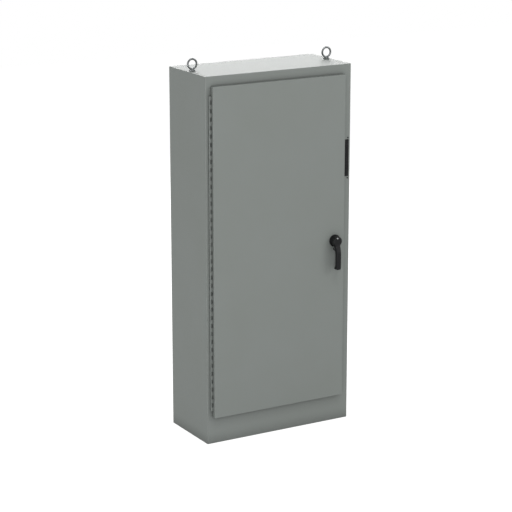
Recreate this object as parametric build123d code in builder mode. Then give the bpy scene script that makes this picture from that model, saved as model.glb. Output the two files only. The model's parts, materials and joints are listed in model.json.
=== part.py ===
"""Automatic transfer switch in a floor-standing sheet steel enclosure.

Millimetres. The origin is the centre of the footprint on the floor, +Z is up and the
door faces -Y. Everything inside hangs from the top of the enclosure and is set out
from the rear panel, so that it follows the enclosure's size.
"""

from build123d import *
import math
import os

os.makedirs("parts", exist_ok=True)

# ---------------------------------------------------------------- driving dimensions
# Enclosure body
WIDTH = 1016.0
DEPTH = 457.2
HEIGHT = 2286.0
SHEET = 2.7
BEND_RADIUS = 4.0
EDGE_ROUND = 2.0
ANCHOR_INSET_X = 48.0
ANCHOR_INSET_Y = 48.6
ANCHOR_HOLE_RADIUS = 7.0

# Door, measured from the edges of the body's front
DOOR_LEFT_MARGIN = 35.0
DOOR_RIGHT_MARGIN = 56.4
DOOR_TOP_MARGIN = 59.6
DOOR_BOTTOM_MARGIN = 169.9
DOOR_STANDOFF = 30.0
DOOR_GAP = 3.0
DOOR_SHEET = 2.0
DOOR_ROUND = 3.0
DOOR_LAP = 30.0
RIM_HEIGHT = 16.0
RIM_SHEET = 2.0
GASKET_WIDTH = 15.0
GASKET_CLEARANCE = 0.3

# Continuous hinge
HINGE_OFFSET_X = 13.5
HINGE_OFFSET_Y = 8.0
KNUCKLE_RADIUS = 3.4
KNUCKLE_PITCH = 25.4
KNUCKLE_GAP = 0.4
HINGE_END_MARGIN = 45.0
HINGE_PIN_RADIUS = 1.6
HINGE_LEAF = 1.9
HINGE_LEAF_WIDTH = 26.0
HINGE_EDGE_CLEARANCE = 0.5
RUNNING_CLEARANCE = 0.05

# Covered slot in the right front flange
SLOT_WIDTH = 30.0
SLOT_HEIGHT = 233.4
SLOT_EDGE_MARGIN = 10.5
SLOT_CENTRE_Z = 1699.1
SLOT_SCREW_SPACING = 253.5
SLOT_SCREW_EDGE = 17.0
SLOT_SCREW_RADIUS = 2.3
COVER_SHEET = 2.5
COVER_CLEARANCE = 0.6

# Lifting eyes
EYE_EDGE_MARGIN = 36.0
EYE_RING_RADIUS = 29.5
EYE_SECTION_RADIUS = 6.0
EYE_CENTRE_HEIGHT = 43.0
EYE_COLLAR_RADIUS = 18.5
EYE_COLLAR_HEIGHT = 10.0
EYE_SHANK_RADIUS = 8.0
EYE_SHANK_LENGTH = 30.0
EYE_HOLE_CLEARANCE = 0.3
DOUBLER_SHEET = 6.0

# Three-point latch
HANDLE_EDGE_MARGIN = 69.6
HANDLE_Z = 1191.0
ESCUTCHEON_RADIUS = 38.0
ESCUTCHEON_HEIGHT = 6.0
HUB_RADIUS = 31.5
HUB_HEIGHT = 38.5
HUB_GAP = 0.5
HUB_ROUND = 5.0
GRIP_WIDTH = 31.5
GRIP_THICKNESS = 20.0
GRIP_FRONT = 56.5
GRIP_REACH = 180.0
GRIP_ROUND = 3.5
TIP_FLARE_DEPTH = 15.0
TIP_FLARE_HEIGHT = 28.0
PADLOCK_HOLE_RADIUS = 4.5
EAR_RADIUS = 11.5
EAR_THICKNESS = 6.0
EAR_DROP = 42.0
EAR_OFFSET = 21.0
EAR_FRONT = 42.0
SPINDLE_RADIUS = 8.0
BUSHING_RADIUS = 12.0
CAM_THROW = 25.0
CAM_RADIUS = 34.0
CAM_PLATE = 4.0
CAM_GAP = 3.4
CAM_TONGUE_REACH = 54.0
CAM_PIN_RADIUS = 3.9
ROD_WIDTH = 12.0
ROD_THICKNESS = 5.0
ROD_GAP = 1.2
ROD_GUIDE_CLEARANCE = 0.4
GUIDE_WALL = 2.8
GUIDE_GASKET_GAP = 0.5
ROLLER_WIDTH = 8.0
ROLLER_LAP = 14.0
ROLLER_GAP = 0.6
ROLLER_PIN_RADIUS = 3.0

# Mounting panel
PANEL_SIDE_MARGIN = 58.0
PANEL_TOP_MARGIN = 136.0
PANEL_BOTTOM = 130.0
PANEL_SHEET = 3.0
PANEL_STANDOFF = 28.0
STUD_RADIUS = 6.0

# Transfer mechanism
MECHANISM_DROP = 1050.0
BASE_PLATE_LIFT = 25.0
BASE_PLATE_SHEET = 3.0
BASE_PLATE_HALF_HEIGHT = 230.0
POLE_PITCH = 170.0
POLE_WIDTH = 132.0
POLE_HALF_HEIGHT = 200.0
POLE_BLOCK_DEPTH = 50.0
BARRIER_DEPTH = 130.0
BARRIER_WALL = 4.0
BUS_THICKNESS = 8.0
BUS_WIDTH = 40.0
BUS_REACH = 400.0
LOAD_BUS_WIDTH = 30.0
LOAD_BUS_REACH = 520.0
CONTACT_PAD = 6.0
CONTACT_REACH = 108.0
CONTACT_GAP = 0.4
ARM_OFFSET_X = -18.0
ARM_WIDTH = 30.0
ARM_THICKNESS = 10.0
ARM_TIP_RADIUS = 7.0
ARM_TILT = 10.0
SHAFT_RADIUS = 14.0
SIDE_FRAME_X = 262.0
SIDE_FRAME_SHEET = 4.0
CRANK_RADIUS = 40.0
CRANK_PIN_RADIUS = 5.0
PLUNGER_RADIUS = 9.0
LUG_HEIGHT = 46.0
LUG_DEPTH = 34.0
LUG_BORE_RADIUS = 9.0
INSULATOR_RADIUS = 16.0

# Controls above the mechanism
CONTROLLER_WIDTH = 250.0
CONTROLLER_HEIGHT = 180.0
CONTROLLER_DEPTH = 75.0
CONTROLLER_RISE = 560.0
BUTTON_RADIUS = 9.0
BUTTON_TRAVEL = 3.0
HARNESS_RADIUS = 6.0

# ---------------------------------------------------------------- derived places
HALF_WIDTH = WIDTH / 2
FRONT = -DEPTH / 2
BACK = DEPTH / 2
FLANGE_BACK = FRONT + SHEET
INNER_HALF_WIDTH = HALF_WIDTH - SHEET
INNER_BACK = BACK - SHEET

DOOR_LEFT = -HALF_WIDTH + DOOR_LEFT_MARGIN
DOOR_RIGHT = HALF_WIDTH - DOOR_RIGHT_MARGIN
DOOR_BOTTOM = DOOR_BOTTOM_MARGIN
DOOR_TOP = HEIGHT - DOOR_TOP_MARGIN
DOOR_FACE = FRONT - DOOR_STANDOFF
DOOR_INNER = DOOR_FACE + DOOR_SHEET
DOOR_EDGE = FRONT - DOOR_GAP

OPENING_LEFT = DOOR_LEFT + DOOR_LAP
OPENING_RIGHT = DOOR_RIGHT - DOOR_LAP
OPENING_BOTTOM = DOOR_BOTTOM + DOOR_LAP
OPENING_TOP = DOOR_TOP - DOOR_LAP

HINGE_X = DOOR_LEFT - HINGE_OFFSET_X
HINGE_Y = FRONT - HINGE_OFFSET_Y
HINGE_BOTTOM = DOOR_BOTTOM + HINGE_END_MARGIN
HINGE_PAIRS = int((DOOR_TOP - DOOR_BOTTOM - 2 * HINGE_END_MARGIN) / KNUCKLE_PITCH - 1) // 2
KNUCKLES = 2 * HINGE_PAIRS + 1
HINGE_TOP = HINGE_BOTTOM + KNUCKLES * KNUCKLE_PITCH

SLOT_RIGHT = HALF_WIDTH - SLOT_EDGE_MARGIN
SLOT_LEFT = SLOT_RIGHT - SLOT_WIDTH
SLOT_SCREW_X = HALF_WIDTH - SLOT_SCREW_EDGE
SLOT_BOTTOM = SLOT_CENTRE_Z - SLOT_HEIGHT / 2
SLOT_TOP = SLOT_CENTRE_Z + SLOT_HEIGHT / 2
SLOT_SCREW_ZS = [SLOT_CENTRE_Z + side * SLOT_SCREW_SPACING / 2 for side in (-1, 1)]

EYE_X = HALF_WIDTH - EYE_EDGE_MARGIN

CAM_PIN_OFFSET = CAM_THROW * math.cos(math.radians(45))
ROD_OFFSET = (CAM_THROW + CAM_PIN_OFFSET) / 2
GUIDE_HALF_WIDTH = ROD_WIDTH / 2 + ROD_GUIDE_CLEARANCE + GUIDE_WALL
GASKET_INSET = (GASKET_WIDTH + RIM_SHEET) / 2
# A longer cam throw moves the handle inwards, so that the rod guides still clear the gasket.
GUIDE_LIMIT_X = OPENING_RIGHT - GASKET_INSET - GUIDE_GASKET_GAP
HANDLE_X = min(DOOR_RIGHT - HANDLE_EDGE_MARGIN, GUIDE_LIMIT_X - GUIDE_HALF_WIDTH - ROD_OFFSET)
ESCUTCHEON_FACE = DOOR_FACE - ESCUTCHEON_HEIGHT
HUB_BACK = ESCUTCHEON_FACE - HUB_GAP
HUB_FACE = HUB_BACK - HUB_HEIGHT
GRIP_FACE = DOOR_FACE - GRIP_FRONT
GRIP_BACK = GRIP_FACE + GRIP_THICKNESS
GRIP_TIP_Z = HANDLE_Z - GRIP_REACH
EAR_X = HANDLE_X - EAR_OFFSET
EAR_Y = DOOR_FACE - EAR_FRONT
EAR_Z = HANDLE_Z - EAR_DROP
CAM_FRONT = FLANGE_BACK + CAM_GAP
CAM_BACK = CAM_FRONT + CAM_PLATE
ROD_FRONT = CAM_BACK + ROD_GAP
ROD_BACK = ROD_FRONT + ROD_THICKNESS
ROD_Y = (ROD_FRONT + ROD_BACK) / 2
ROD_TRAVEL = 2 * CAM_PIN_OFFSET
ROLLER_RADIUS = ROD_Y - FLANGE_BACK - ROLLER_GAP

PANEL_HALF_WIDTH = HALF_WIDTH - PANEL_SIDE_MARGIN
PANEL_TOP = HEIGHT - PANEL_TOP_MARGIN
PANEL_BACK = INNER_BACK - PANEL_STANDOFF
PANEL_FRONT = PANEL_BACK - PANEL_SHEET

MECHANISM_Z = HEIGHT - MECHANISM_DROP
PLATE_BACK = PANEL_FRONT - BASE_PLATE_LIFT
PLATE_FRONT = PLATE_BACK - BASE_PLATE_SHEET
POLE_FRONT = PLATE_FRONT - POLE_BLOCK_DEPTH
BUS_FRONT = POLE_FRONT - BUS_THICKNESS
PAD_FRONT = BUS_FRONT - CONTACT_PAD
POLE_XS = [-POLE_PITCH, 0.0, POLE_PITCH]
TILT = math.radians(ARM_TILT)
TIP_Y = CONTACT_REACH * math.sin(TILT) + ARM_THICKNESS / 2 * math.cos(TILT)
TIP_Z = CONTACT_REACH * math.cos(TILT) - ARM_THICKNESS / 2 * math.sin(TILT)
SHAFT_Y = PAD_FRONT - CONTACT_GAP - ARM_TIP_RADIUS - TIP_Y
CRANK_PIN_Y = SHAFT_Y - CRANK_RADIUS * math.cos(TILT)
CRANK_PIN_Z = MECHANISM_Z - CRANK_RADIUS * math.sin(TILT)
PLUNGER_TRAVEL = 2 * CRANK_RADIUS * math.sin(TILT)
CRANK_LEFT = SIDE_FRAME_X + SIDE_FRAME_SHEET + 10.0
CRANK_WIDTH = 8.0
PLUNGER_X = CRANK_LEFT + CRANK_WIDTH + 8.0

CONTROLLER_BOTTOM = MECHANISM_Z + CONTROLLER_RISE
CONTROLLER_TOP = CONTROLLER_BOTTOM + CONTROLLER_HEIGHT
CONTROLLER_LEFT = -400.0
CONTROLLER_RIGHT = CONTROLLER_LEFT + CONTROLLER_WIDTH
CONTROLLER_FACE = PANEL_FRONT - CONTROLLER_DEPTH


# ---------------------------------------------------------------- shared shapes
def add_box(x_limits, y_limits, z_limits, mode=Mode.ADD):
    """Adds an upright box between three pairs of limits to the open part."""
    limits = (x_limits, y_limits, z_limits)
    centre = [(low + high) / 2 for low, high in limits]
    size = [high - low for low, high in limits]
    with Locations(tuple(centre)):
        Box(*size, mode=mode)


def add_bar(axis, start, radius, length, mode=Mode.ADD):
    """Adds a round bar that runs from start along +X, +Y or +Z to the open part."""
    turns = {"x": (0, 90, 0), "y": (-90, 0, 0), "z": (0, 0, 0)}
    base = (Align.CENTER, Align.CENTER, Align.MIN)
    with Locations(Location(start, turns[axis])):
        Cylinder(radius, length, align=base, mode=mode)


def outer_top_edges(part):
    """The top edges that lie on the outside of the enclosure."""
    top_edges = part.edges().group_by(Axis.Z)[-1]

    def outside(edge):
        middle = edge.position_at(0.5)
        corner = BEND_RADIUS * (1 - math.cos(math.radians(45))) + 0.01
        return abs(middle.X) > HALF_WIDTH - corner or abs(middle.Y) > BACK - corner

    return top_edges.filter_by(outside)


def front_corner_edges(part):
    """The two upright front corners of a flat sheet, which lie in the side panels' bends."""
    return part.edges().filter_by(Axis.Z).filter_by(GeomType.LINE).group_by(Axis.Y)[0]


# ---------------------------------------------------------------- enclosure sheets
def side_panel_outline(side, flange_edge):
    """Corners of a side wall and its front flange, seen from above."""
    return [
        (side * HALF_WIDTH, BACK),
        (side * HALF_WIDTH, FRONT),
        (flange_edge, FRONT),
        (flange_edge, FLANGE_BACK),
        (side * INNER_HALF_WIDTH, FLANGE_BACK),
        (side * INNER_HALF_WIDTH, BACK),
    ]


with BuildPart() as left_side_panel:
    with BuildSketch(Plane.XY) as left_section:
        with BuildLine():
            Polyline(*side_panel_outline(-1, OPENING_LEFT), close=True)
        make_face()
        outer_corner = left_section.vertices().sort_by_distance((-HALF_WIDTH, FRONT, 0))[0]
        fillet(outer_corner, BEND_RADIUS)
        inner_corner = left_section.vertices().sort_by_distance(
            (-INNER_HALF_WIDTH, FLANGE_BACK, 0))[0]
        fillet(inner_corner, BEND_RADIUS - SHEET)
    extrude(amount=HEIGHT)
    fillet(outer_top_edges(left_side_panel.part), EDGE_ROUND)
left_side_panel.part.label = "left_side_panel"
export_step(left_side_panel.part, "parts/left_side_panel.step")

with BuildPart() as right_side_panel:
    with BuildSketch(Plane.XY) as right_section:
        with BuildLine():
            Polyline(*side_panel_outline(1, OPENING_RIGHT), close=True)
        make_face()
        outer_corner = right_section.vertices().sort_by_distance((HALF_WIDTH, FRONT, 0))[0]
        fillet(outer_corner, BEND_RADIUS)
        inner_corner = right_section.vertices().sort_by_distance(
            (INNER_HALF_WIDTH, FLANGE_BACK, 0))[0]
        fillet(inner_corner, BEND_RADIUS - SHEET)
    extrude(amount=HEIGHT)
    fillet(outer_top_edges(right_side_panel.part), EDGE_ROUND)
    add_box((SLOT_LEFT, SLOT_RIGHT), (FRONT - 1, FLANGE_BACK + 1), (SLOT_BOTTOM, SLOT_TOP),
            mode=Mode.SUBTRACT)
    for screw_z in SLOT_SCREW_ZS:
        add_bar("y", (SLOT_SCREW_X, FRONT - 1, screw_z), SLOT_SCREW_RADIUS + 0.2, SHEET + 2,
                mode=Mode.SUBTRACT)
right_side_panel.part.label = "right_side_panel"
export_step(right_side_panel.part, "parts/right_side_panel.step")

# The top panel lies between the other sheets, flush with their edges.
with BuildPart() as top_panel:
    add_box((-INNER_HALF_WIDTH, INNER_HALF_WIDTH), (FLANGE_BACK, INNER_BACK),
            (HEIGHT - SHEET, HEIGHT))
    for side in (-1, 1):
        add_bar("z", (side * EYE_X, 0, HEIGHT - SHEET - 1),
                EYE_SHANK_RADIUS + EYE_HOLE_CLEARANCE, SHEET + 2, mode=Mode.SUBTRACT)
    fillet(front_corner_edges(top_panel.part), BEND_RADIUS - SHEET)
top_panel.part.label = "top_panel"
export_step(top_panel.part, "parts/top_panel.step")

with BuildPart() as rear_panel:
    add_box((-INNER_HALF_WIDTH, INNER_HALF_WIDTH), (INNER_BACK, BACK), (0, HEIGHT))
    fillet(outer_top_edges(rear_panel.part).filter_by(Axis.X), EDGE_ROUND)
rear_panel.part.label = "rear_panel"
export_step(rear_panel.part, "parts/rear_panel.step")

with BuildPart() as floor_pan:
    add_box((-INNER_HALF_WIDTH, INNER_HALF_WIDTH), (FLANGE_BACK, INNER_BACK), (0, SHEET))
    with Locations((0, 0, SHEET)):
        with GridLocations(2 * (HALF_WIDTH - ANCHOR_INSET_X), 2 * (BACK - ANCHOR_INSET_Y), 2, 2):
            Hole(ANCHOR_HOLE_RADIUS, SHEET + 1)
    fillet(front_corner_edges(floor_pan.part), BEND_RADIUS - SHEET)
floor_pan.part.label = "floor_pan"
export_step(floor_pan.part, "parts/floor_pan.step")

# A header above the opening and a sill below it join the two front flanges.
with BuildPart() as front_rails:
    add_box((OPENING_LEFT, OPENING_RIGHT), (FRONT, FLANGE_BACK), (OPENING_TOP, HEIGHT))
    header_edges = front_rails.edges().group_by(Axis.Z)[-1].filter_by(Axis.X)
    fillet(header_edges.sort_by(Axis.Y)[0], EDGE_ROUND)
    add_box((OPENING_LEFT, OPENING_RIGHT), (FRONT, FLANGE_BACK), (0, OPENING_BOTTOM))
front_rails.part.label = "front_rails"
export_step(front_rails.part, "parts/front_rails.step")

# A rim stands forward all round the opening and presses into the door's gasket.
with BuildPart() as door_opening_rim:
    add_box((OPENING_LEFT, OPENING_RIGHT), (FRONT - RIM_HEIGHT, FLANGE_BACK),
            (OPENING_BOTTOM, OPENING_TOP))
    add_box((OPENING_LEFT + RIM_SHEET, OPENING_RIGHT - RIM_SHEET),
            (FRONT - RIM_HEIGHT - 1, FLANGE_BACK + 1),
            (OPENING_BOTTOM + RIM_SHEET, OPENING_TOP - RIM_SHEET), mode=Mode.SUBTRACT)
door_opening_rim.part.label = "door_opening_rim"
export_step(door_opening_rim.part, "parts/door_opening_rim.step")

# ---------------------------------------------------------------- covered slot
COVER_SIDE_LAP = 5.5
COVER_END_LAP = 22.0
COVER_RECESS = 0.8
COVER_RIB_RADIUS = 1.5
COVER_BACK = FLANGE_BACK + COVER_SHEET

with BuildPart() as flange_cover:
    add_box((SLOT_LEFT - COVER_SIDE_LAP, SLOT_RIGHT + COVER_SIDE_LAP), (FLANGE_BACK, COVER_BACK),
            (SLOT_BOTTOM - COVER_END_LAP, SLOT_TOP + COVER_END_LAP))
    add_box((SLOT_LEFT + COVER_CLEARANCE, SLOT_RIGHT - COVER_CLEARANCE),
            (FRONT + COVER_RECESS, FLANGE_BACK),
            (SLOT_BOTTOM + COVER_CLEARANCE, SLOT_TOP - COVER_CLEARANCE))
    add_bar("z", ((SLOT_LEFT + SLOT_RIGHT) / 2, FRONT + COVER_RECESS, SLOT_BOTTOM + 8),
            COVER_RIB_RADIUS, SLOT_HEIGHT - 16)
    for screw_z in SLOT_SCREW_ZS:
        add_bar("y", (SLOT_SCREW_X, FRONT, screw_z), SLOT_SCREW_RADIUS + 0.2,
                SHEET + COVER_SHEET + 1, mode=Mode.SUBTRACT)
flange_cover.part.label = "flange_cover"
export_step(flange_cover.part, "parts/flange_cover.step")

# Pan head screws with a hexagon nut behind the cover.
with BuildPart() as flange_cover_screws:
    for screw_z in SLOT_SCREW_ZS:
        add_bar("y", (SLOT_SCREW_X, FRONT, screw_z), SLOT_SCREW_RADIUS, SHEET + COVER_SHEET + 7)
        add_bar("y", (SLOT_SCREW_X, FRONT - 2.4, screw_z), 4.2, 2.4)
    with BuildSketch(Plane.XZ.offset(-COVER_BACK)):
        with Locations(*[(SLOT_SCREW_X, screw_z) for screw_z in SLOT_SCREW_ZS]):
            RegularPolygon(4.4, 6)
            Circle(SLOT_SCREW_RADIUS + 0.02, mode=Mode.SUBTRACT)
    extrude(amount=-4)
flange_cover_screws.part.label = "flange_cover_screws"
export_step(flange_cover_screws.part, "parts/flange_cover_screws.step")

# ---------------------------------------------------------------- lifting eyes
for name, side in (("lifting_eye_left", -1), ("lifting_eye_right", 1)):
    with BuildPart() as lifting_eye:
        add_bar("z", (side * EYE_X, 0, HEIGHT), EYE_COLLAR_RADIUS, EYE_COLLAR_HEIGHT)
        fillet(lifting_eye.edges().group_by(Axis.Z)[-1], 2.5)
        add_bar("z", (side * EYE_X, 0, HEIGHT + EYE_COLLAR_HEIGHT - 1), 11.0, 7.0)
        with Locations(Location((side * EYE_X, 0, HEIGHT + EYE_CENTRE_HEIGHT), (90, 0, 0))):
            Torus(EYE_RING_RADIUS, EYE_SECTION_RADIUS)
        add_bar("z", (side * EYE_X, 0, HEIGHT - EYE_SHANK_LENGTH), EYE_SHANK_RADIUS,
                EYE_SHANK_LENGTH)
    lifting_eye.part.label = name
    export_step(lifting_eye.part, f"parts/{name}.step")

# Thick plates under the top panel spread each eye's load; a nut holds the eye.
DOUBLER_BOTTOM = HEIGHT - SHEET - DOUBLER_SHEET
EYE_NUT_HEIGHT = 13.0

with BuildPart() as lifting_doublers:
    for side in (-1, 1):
        x_limits = sorted((side * (INNER_HALF_WIDTH - 64), side * INNER_HALF_WIDTH))
        add_box(x_limits, (-45, 45), (DOUBLER_BOTTOM, HEIGHT - SHEET))
        add_bar("z", (side * EYE_X, 0, DOUBLER_BOTTOM - 1),
                EYE_SHANK_RADIUS + EYE_HOLE_CLEARANCE, DOUBLER_SHEET + 2, mode=Mode.SUBTRACT)
lifting_doublers.part.label = "lifting_doublers"
export_step(lifting_doublers.part, "parts/lifting_doublers.step")

with BuildPart() as lifting_nuts:
    with BuildSketch(Plane.XY.offset(DOUBLER_BOTTOM)):
        with Locations((-EYE_X, 0), (EYE_X, 0)):
            RegularPolygon(13.8, 6)
            Circle(EYE_SHANK_RADIUS + 0.02, mode=Mode.SUBTRACT)
    extrude(amount=-EYE_NUT_HEIGHT)
lifting_nuts.part.label = "lifting_nuts"
export_step(lifting_nuts.part, "parts/lifting_nuts.step")

# ---------------------------------------------------------------- continuous hinge
def knuckle_span(index):
    """Bottom and top of a knuckle, with the gap to its neighbours taken off."""
    bottom = HINGE_BOTTOM + index * KNUCKLE_PITCH
    return bottom + KNUCKLE_GAP / 2, bottom + KNUCKLE_PITCH - KNUCKLE_GAP / 2


# Even knuckles belong to the door's leaf, whose webs pass behind the cut-back door edge.
WEB_FRONT = HINGE_Y - KNUCKLE_RADIUS
WEB_BACK = WEB_FRONT + HINGE_LEAF
DOOR_LEAF_X = DOOR_LEFT + DOOR_SHEET
DOOR_LEAF_LIMITS = (DOOR_LEAF_X, DOOR_LEAF_X + HINGE_LEAF)

with BuildPart() as hinge_door_leaf:
    add_box(DOOR_LEAF_LIMITS, (DOOR_INNER + 1, WEB_BACK), (HINGE_BOTTOM, HINGE_TOP))
    for index in range(0, KNUCKLES, 2):
        low, high = knuckle_span(index)
        add_box((HINGE_X, DOOR_LEAF_X + HINGE_LEAF), (WEB_FRONT, WEB_BACK), (low, high))
        add_bar("z", (HINGE_X, HINGE_Y, low), KNUCKLE_RADIUS, high - low)
    add_bar("z", (HINGE_X, HINGE_Y, HINGE_BOTTOM - 1), HINGE_PIN_RADIUS + RUNNING_CLEARANCE,
            HINGE_TOP - HINGE_BOTTOM + 2, mode=Mode.SUBTRACT)
hinge_door_leaf.part.label = "hinge_door_leaf"
export_step(hinge_door_leaf.part, "parts/hinge_door_leaf.step")

# Odd knuckles stand on the frame's leaf, which lies flat on the front flange.
with BuildPart() as hinge_frame_leaf:
    leaf_left = HINGE_X - HINGE_LEAF
    add_box((leaf_left, leaf_left + HINGE_LEAF_WIDTH), (FRONT - HINGE_LEAF, FRONT),
            (HINGE_BOTTOM, HINGE_TOP))
    for index in range(1, KNUCKLES, 2):
        low, high = knuckle_span(index)
        add_box((HINGE_X - HINGE_LEAF / 2, HINGE_X + HINGE_LEAF / 2), (HINGE_Y, FRONT),
                (low, high))
        add_bar("z", (HINGE_X, HINGE_Y, low), KNUCKLE_RADIUS, high - low)
    add_bar("z", (HINGE_X, HINGE_Y, HINGE_BOTTOM - 1), HINGE_PIN_RADIUS + 0.01,
            HINGE_TOP - HINGE_BOTTOM + 2, mode=Mode.SUBTRACT)
hinge_frame_leaf.part.label = "hinge_frame_leaf"
export_step(hinge_frame_leaf.part, "parts/hinge_frame_leaf.step")

with BuildPart() as hinge_pin:
    add_bar("z", (HINGE_X, HINGE_Y, HINGE_BOTTOM), HINGE_PIN_RADIUS, HINGE_TOP - HINGE_BOTTOM)
hinge_pin.part.label = "hinge_pin"
export_step(hinge_pin.part, "parts/hinge_pin.step")

# ---------------------------------------------------------------- door
with BuildPart() as door_panel:
    add_box((DOOR_LEFT, DOOR_RIGHT), (DOOR_FACE, DOOR_EDGE), (DOOR_BOTTOM, DOOR_TOP))
    fillet(door_panel.edges().filter_by(Axis.Y), DOOR_ROUND)
    fillet(door_panel.edges().group_by(Axis.Y)[0], DOOR_ROUND - 0.5)
    add_box((DOOR_LEFT + DOOR_SHEET, DOOR_RIGHT - DOOR_SHEET), (DOOR_INNER, DOOR_EDGE + 1),
            (DOOR_BOTTOM + DOOR_SHEET, DOOR_TOP - DOOR_SHEET), mode=Mode.SUBTRACT)
    add_box((DOOR_LEFT - 1, DOOR_LEFT + DOOR_SHEET), (WEB_FRONT - HINGE_EDGE_CLEARANCE, FRONT),
            (HINGE_BOTTOM - HINGE_EDGE_CLEARANCE, HINGE_TOP + HINGE_EDGE_CLEARANCE),
            mode=Mode.SUBTRACT)
    add_bar("y", (HANDLE_X, DOOR_FACE - 1, HANDLE_Z), BUSHING_RADIUS + 0.1, DOOR_SHEET + 2,
            mode=Mode.SUBTRACT)
door_panel.part.label = "door_panel"
export_step(door_panel.part, "parts/door_panel.step")

RIM_MIDDLE = RIM_SHEET / 2
GASKET_BACK = FRONT - RIM_HEIGHT - GASKET_CLEARANCE
with BuildPart() as door_gasket:
    reach = GASKET_WIDTH / 2 - RIM_MIDDLE
    add_box((OPENING_LEFT - reach, OPENING_RIGHT + reach), (DOOR_INNER, GASKET_BACK),
            (OPENING_BOTTOM - reach, OPENING_TOP + reach))
    add_box((OPENING_LEFT + GASKET_INSET, OPENING_RIGHT - GASKET_INSET),
            (DOOR_INNER - 1, GASKET_BACK + 1),
            (OPENING_BOTTOM + GASKET_INSET, OPENING_TOP - GASKET_INSET), mode=Mode.SUBTRACT)
door_gasket.part.label = "door_gasket"
export_step(door_gasket.part, "parts/door_gasket.step")

# Two hat channels keep the door flat.
STIFFENER_XS = [-200.0, 120.0]
STIFFENER_SHEET = 1.5
STIFFENER_DEPTH = 20.0
STIFFENER_CROWN = 30.0
STIFFENER_FLANGE = 14.0
STIFFENER_END_GAP = 60.0

with BuildPart() as door_stiffeners:
    with BuildSketch(Plane.XY.offset(OPENING_BOTTOM + STIFFENER_END_GAP)):
        for stiffener_x in STIFFENER_XS:
            half_crown = STIFFENER_CROWN / 2
            half_width = half_crown + STIFFENER_FLANGE
            crown_y = DOOR_INNER + STIFFENER_DEPTH
            with Locations((stiffener_x, crown_y - STIFFENER_SHEET / 2)):
                Rectangle(STIFFENER_CROWN, STIFFENER_SHEET)
            for side in (-1, 1):
                with Locations((stiffener_x + side * (half_crown - STIFFENER_SHEET / 2),
                                DOOR_INNER + STIFFENER_DEPTH / 2)):
                    Rectangle(STIFFENER_SHEET, STIFFENER_DEPTH)
                with Locations((stiffener_x + side * (half_crown + half_width) / 2,
                                DOOR_INNER + STIFFENER_SHEET / 2)):
                    Rectangle(STIFFENER_FLANGE, STIFFENER_SHEET)
    extrude(amount=OPENING_TOP - OPENING_BOTTOM - 2 * STIFFENER_END_GAP)
door_stiffeners.part.label = "door_stiffeners"
export_step(door_stiffeners.part, "parts/door_stiffeners.step")

# Open-topped pocket for drawings, between the stiffeners.
POCKET_LEFT = -160.0
POCKET_RIGHT = 80.0
POCKET_BOTTOM = 640.0
POCKET_HEIGHT = 250.0
POCKET_DEPTH = 32.0
POCKET_WALL = 1.5

with BuildPart() as data_pocket:
    add_box((POCKET_LEFT, POCKET_RIGHT), (DOOR_INNER, DOOR_INNER + POCKET_DEPTH),
            (POCKET_BOTTOM, POCKET_BOTTOM + POCKET_HEIGHT))
    add_box((POCKET_LEFT + POCKET_WALL, POCKET_RIGHT - POCKET_WALL),
            (DOOR_INNER + POCKET_WALL, DOOR_INNER + POCKET_DEPTH - POCKET_WALL),
            (POCKET_BOTTOM + POCKET_WALL, POCKET_BOTTOM + POCKET_HEIGHT + 1),
            mode=Mode.SUBTRACT)
data_pocket.part.label = "data_pocket"
export_step(data_pocket.part, "parts/data_pocket.step")

# ---------------------------------------------------------------- handle and cam
with BuildPart() as handle_escutcheon:
    add_bar("y", (HANDLE_X, ESCUTCHEON_FACE, HANDLE_Z), ESCUTCHEON_RADIUS, ESCUTCHEON_HEIGHT)
    fillet(handle_escutcheon.edges().group_by(Axis.Y)[0], 2.0)
    add_bar("y", (HANDLE_X, ESCUTCHEON_FACE - 1, HANDLE_Z), SPINDLE_RADIUS + RUNNING_CLEARANCE,
            ESCUTCHEON_HEIGHT + 2, mode=Mode.SUBTRACT)
handle_escutcheon.part.label = "handle_escutcheon"
export_step(handle_escutcheon.part, "parts/handle_escutcheon.step")

BUSHING_REACH = 14.0
BUSHING_NUT_HEIGHT = 6.0
with BuildPart() as spindle_bushing:
    add_bar("y", (HANDLE_X, DOOR_FACE, HANDLE_Z), BUSHING_RADIUS, DOOR_SHEET + BUSHING_REACH)
    with BuildSketch(Plane.XZ.offset(-DOOR_INNER)):
        with Locations((HANDLE_X, HANDLE_Z)):
            RegularPolygon(18.0, 6)
    extrude(amount=-BUSHING_NUT_HEIGHT)
    add_bar("y", (HANDLE_X, DOOR_FACE - 1, HANDLE_Z), SPINDLE_RADIUS + RUNNING_CLEARANCE,
            DOOR_SHEET + BUSHING_REACH + 2, mode=Mode.SUBTRACT)
spindle_bushing.part.label = "spindle_bushing"
export_step(spindle_bushing.part, "parts/spindle_bushing.step")

# The grip hangs from the hub: the neck slopes forward to leave room for fingers, and the
# tip flares back towards the door.
SPINDLE_SEAT = 20.0
NECK_TOP = HANDLE_Z - 12
NECK_BACK = HUB_BACK - 8
NECK_BEND_FRONT = HANDLE_Z - 69
NECK_BEND_BACK = HANDLE_Z - 84
FLARE_BACK = GRIP_BACK + TIP_FLARE_DEPTH

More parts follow.
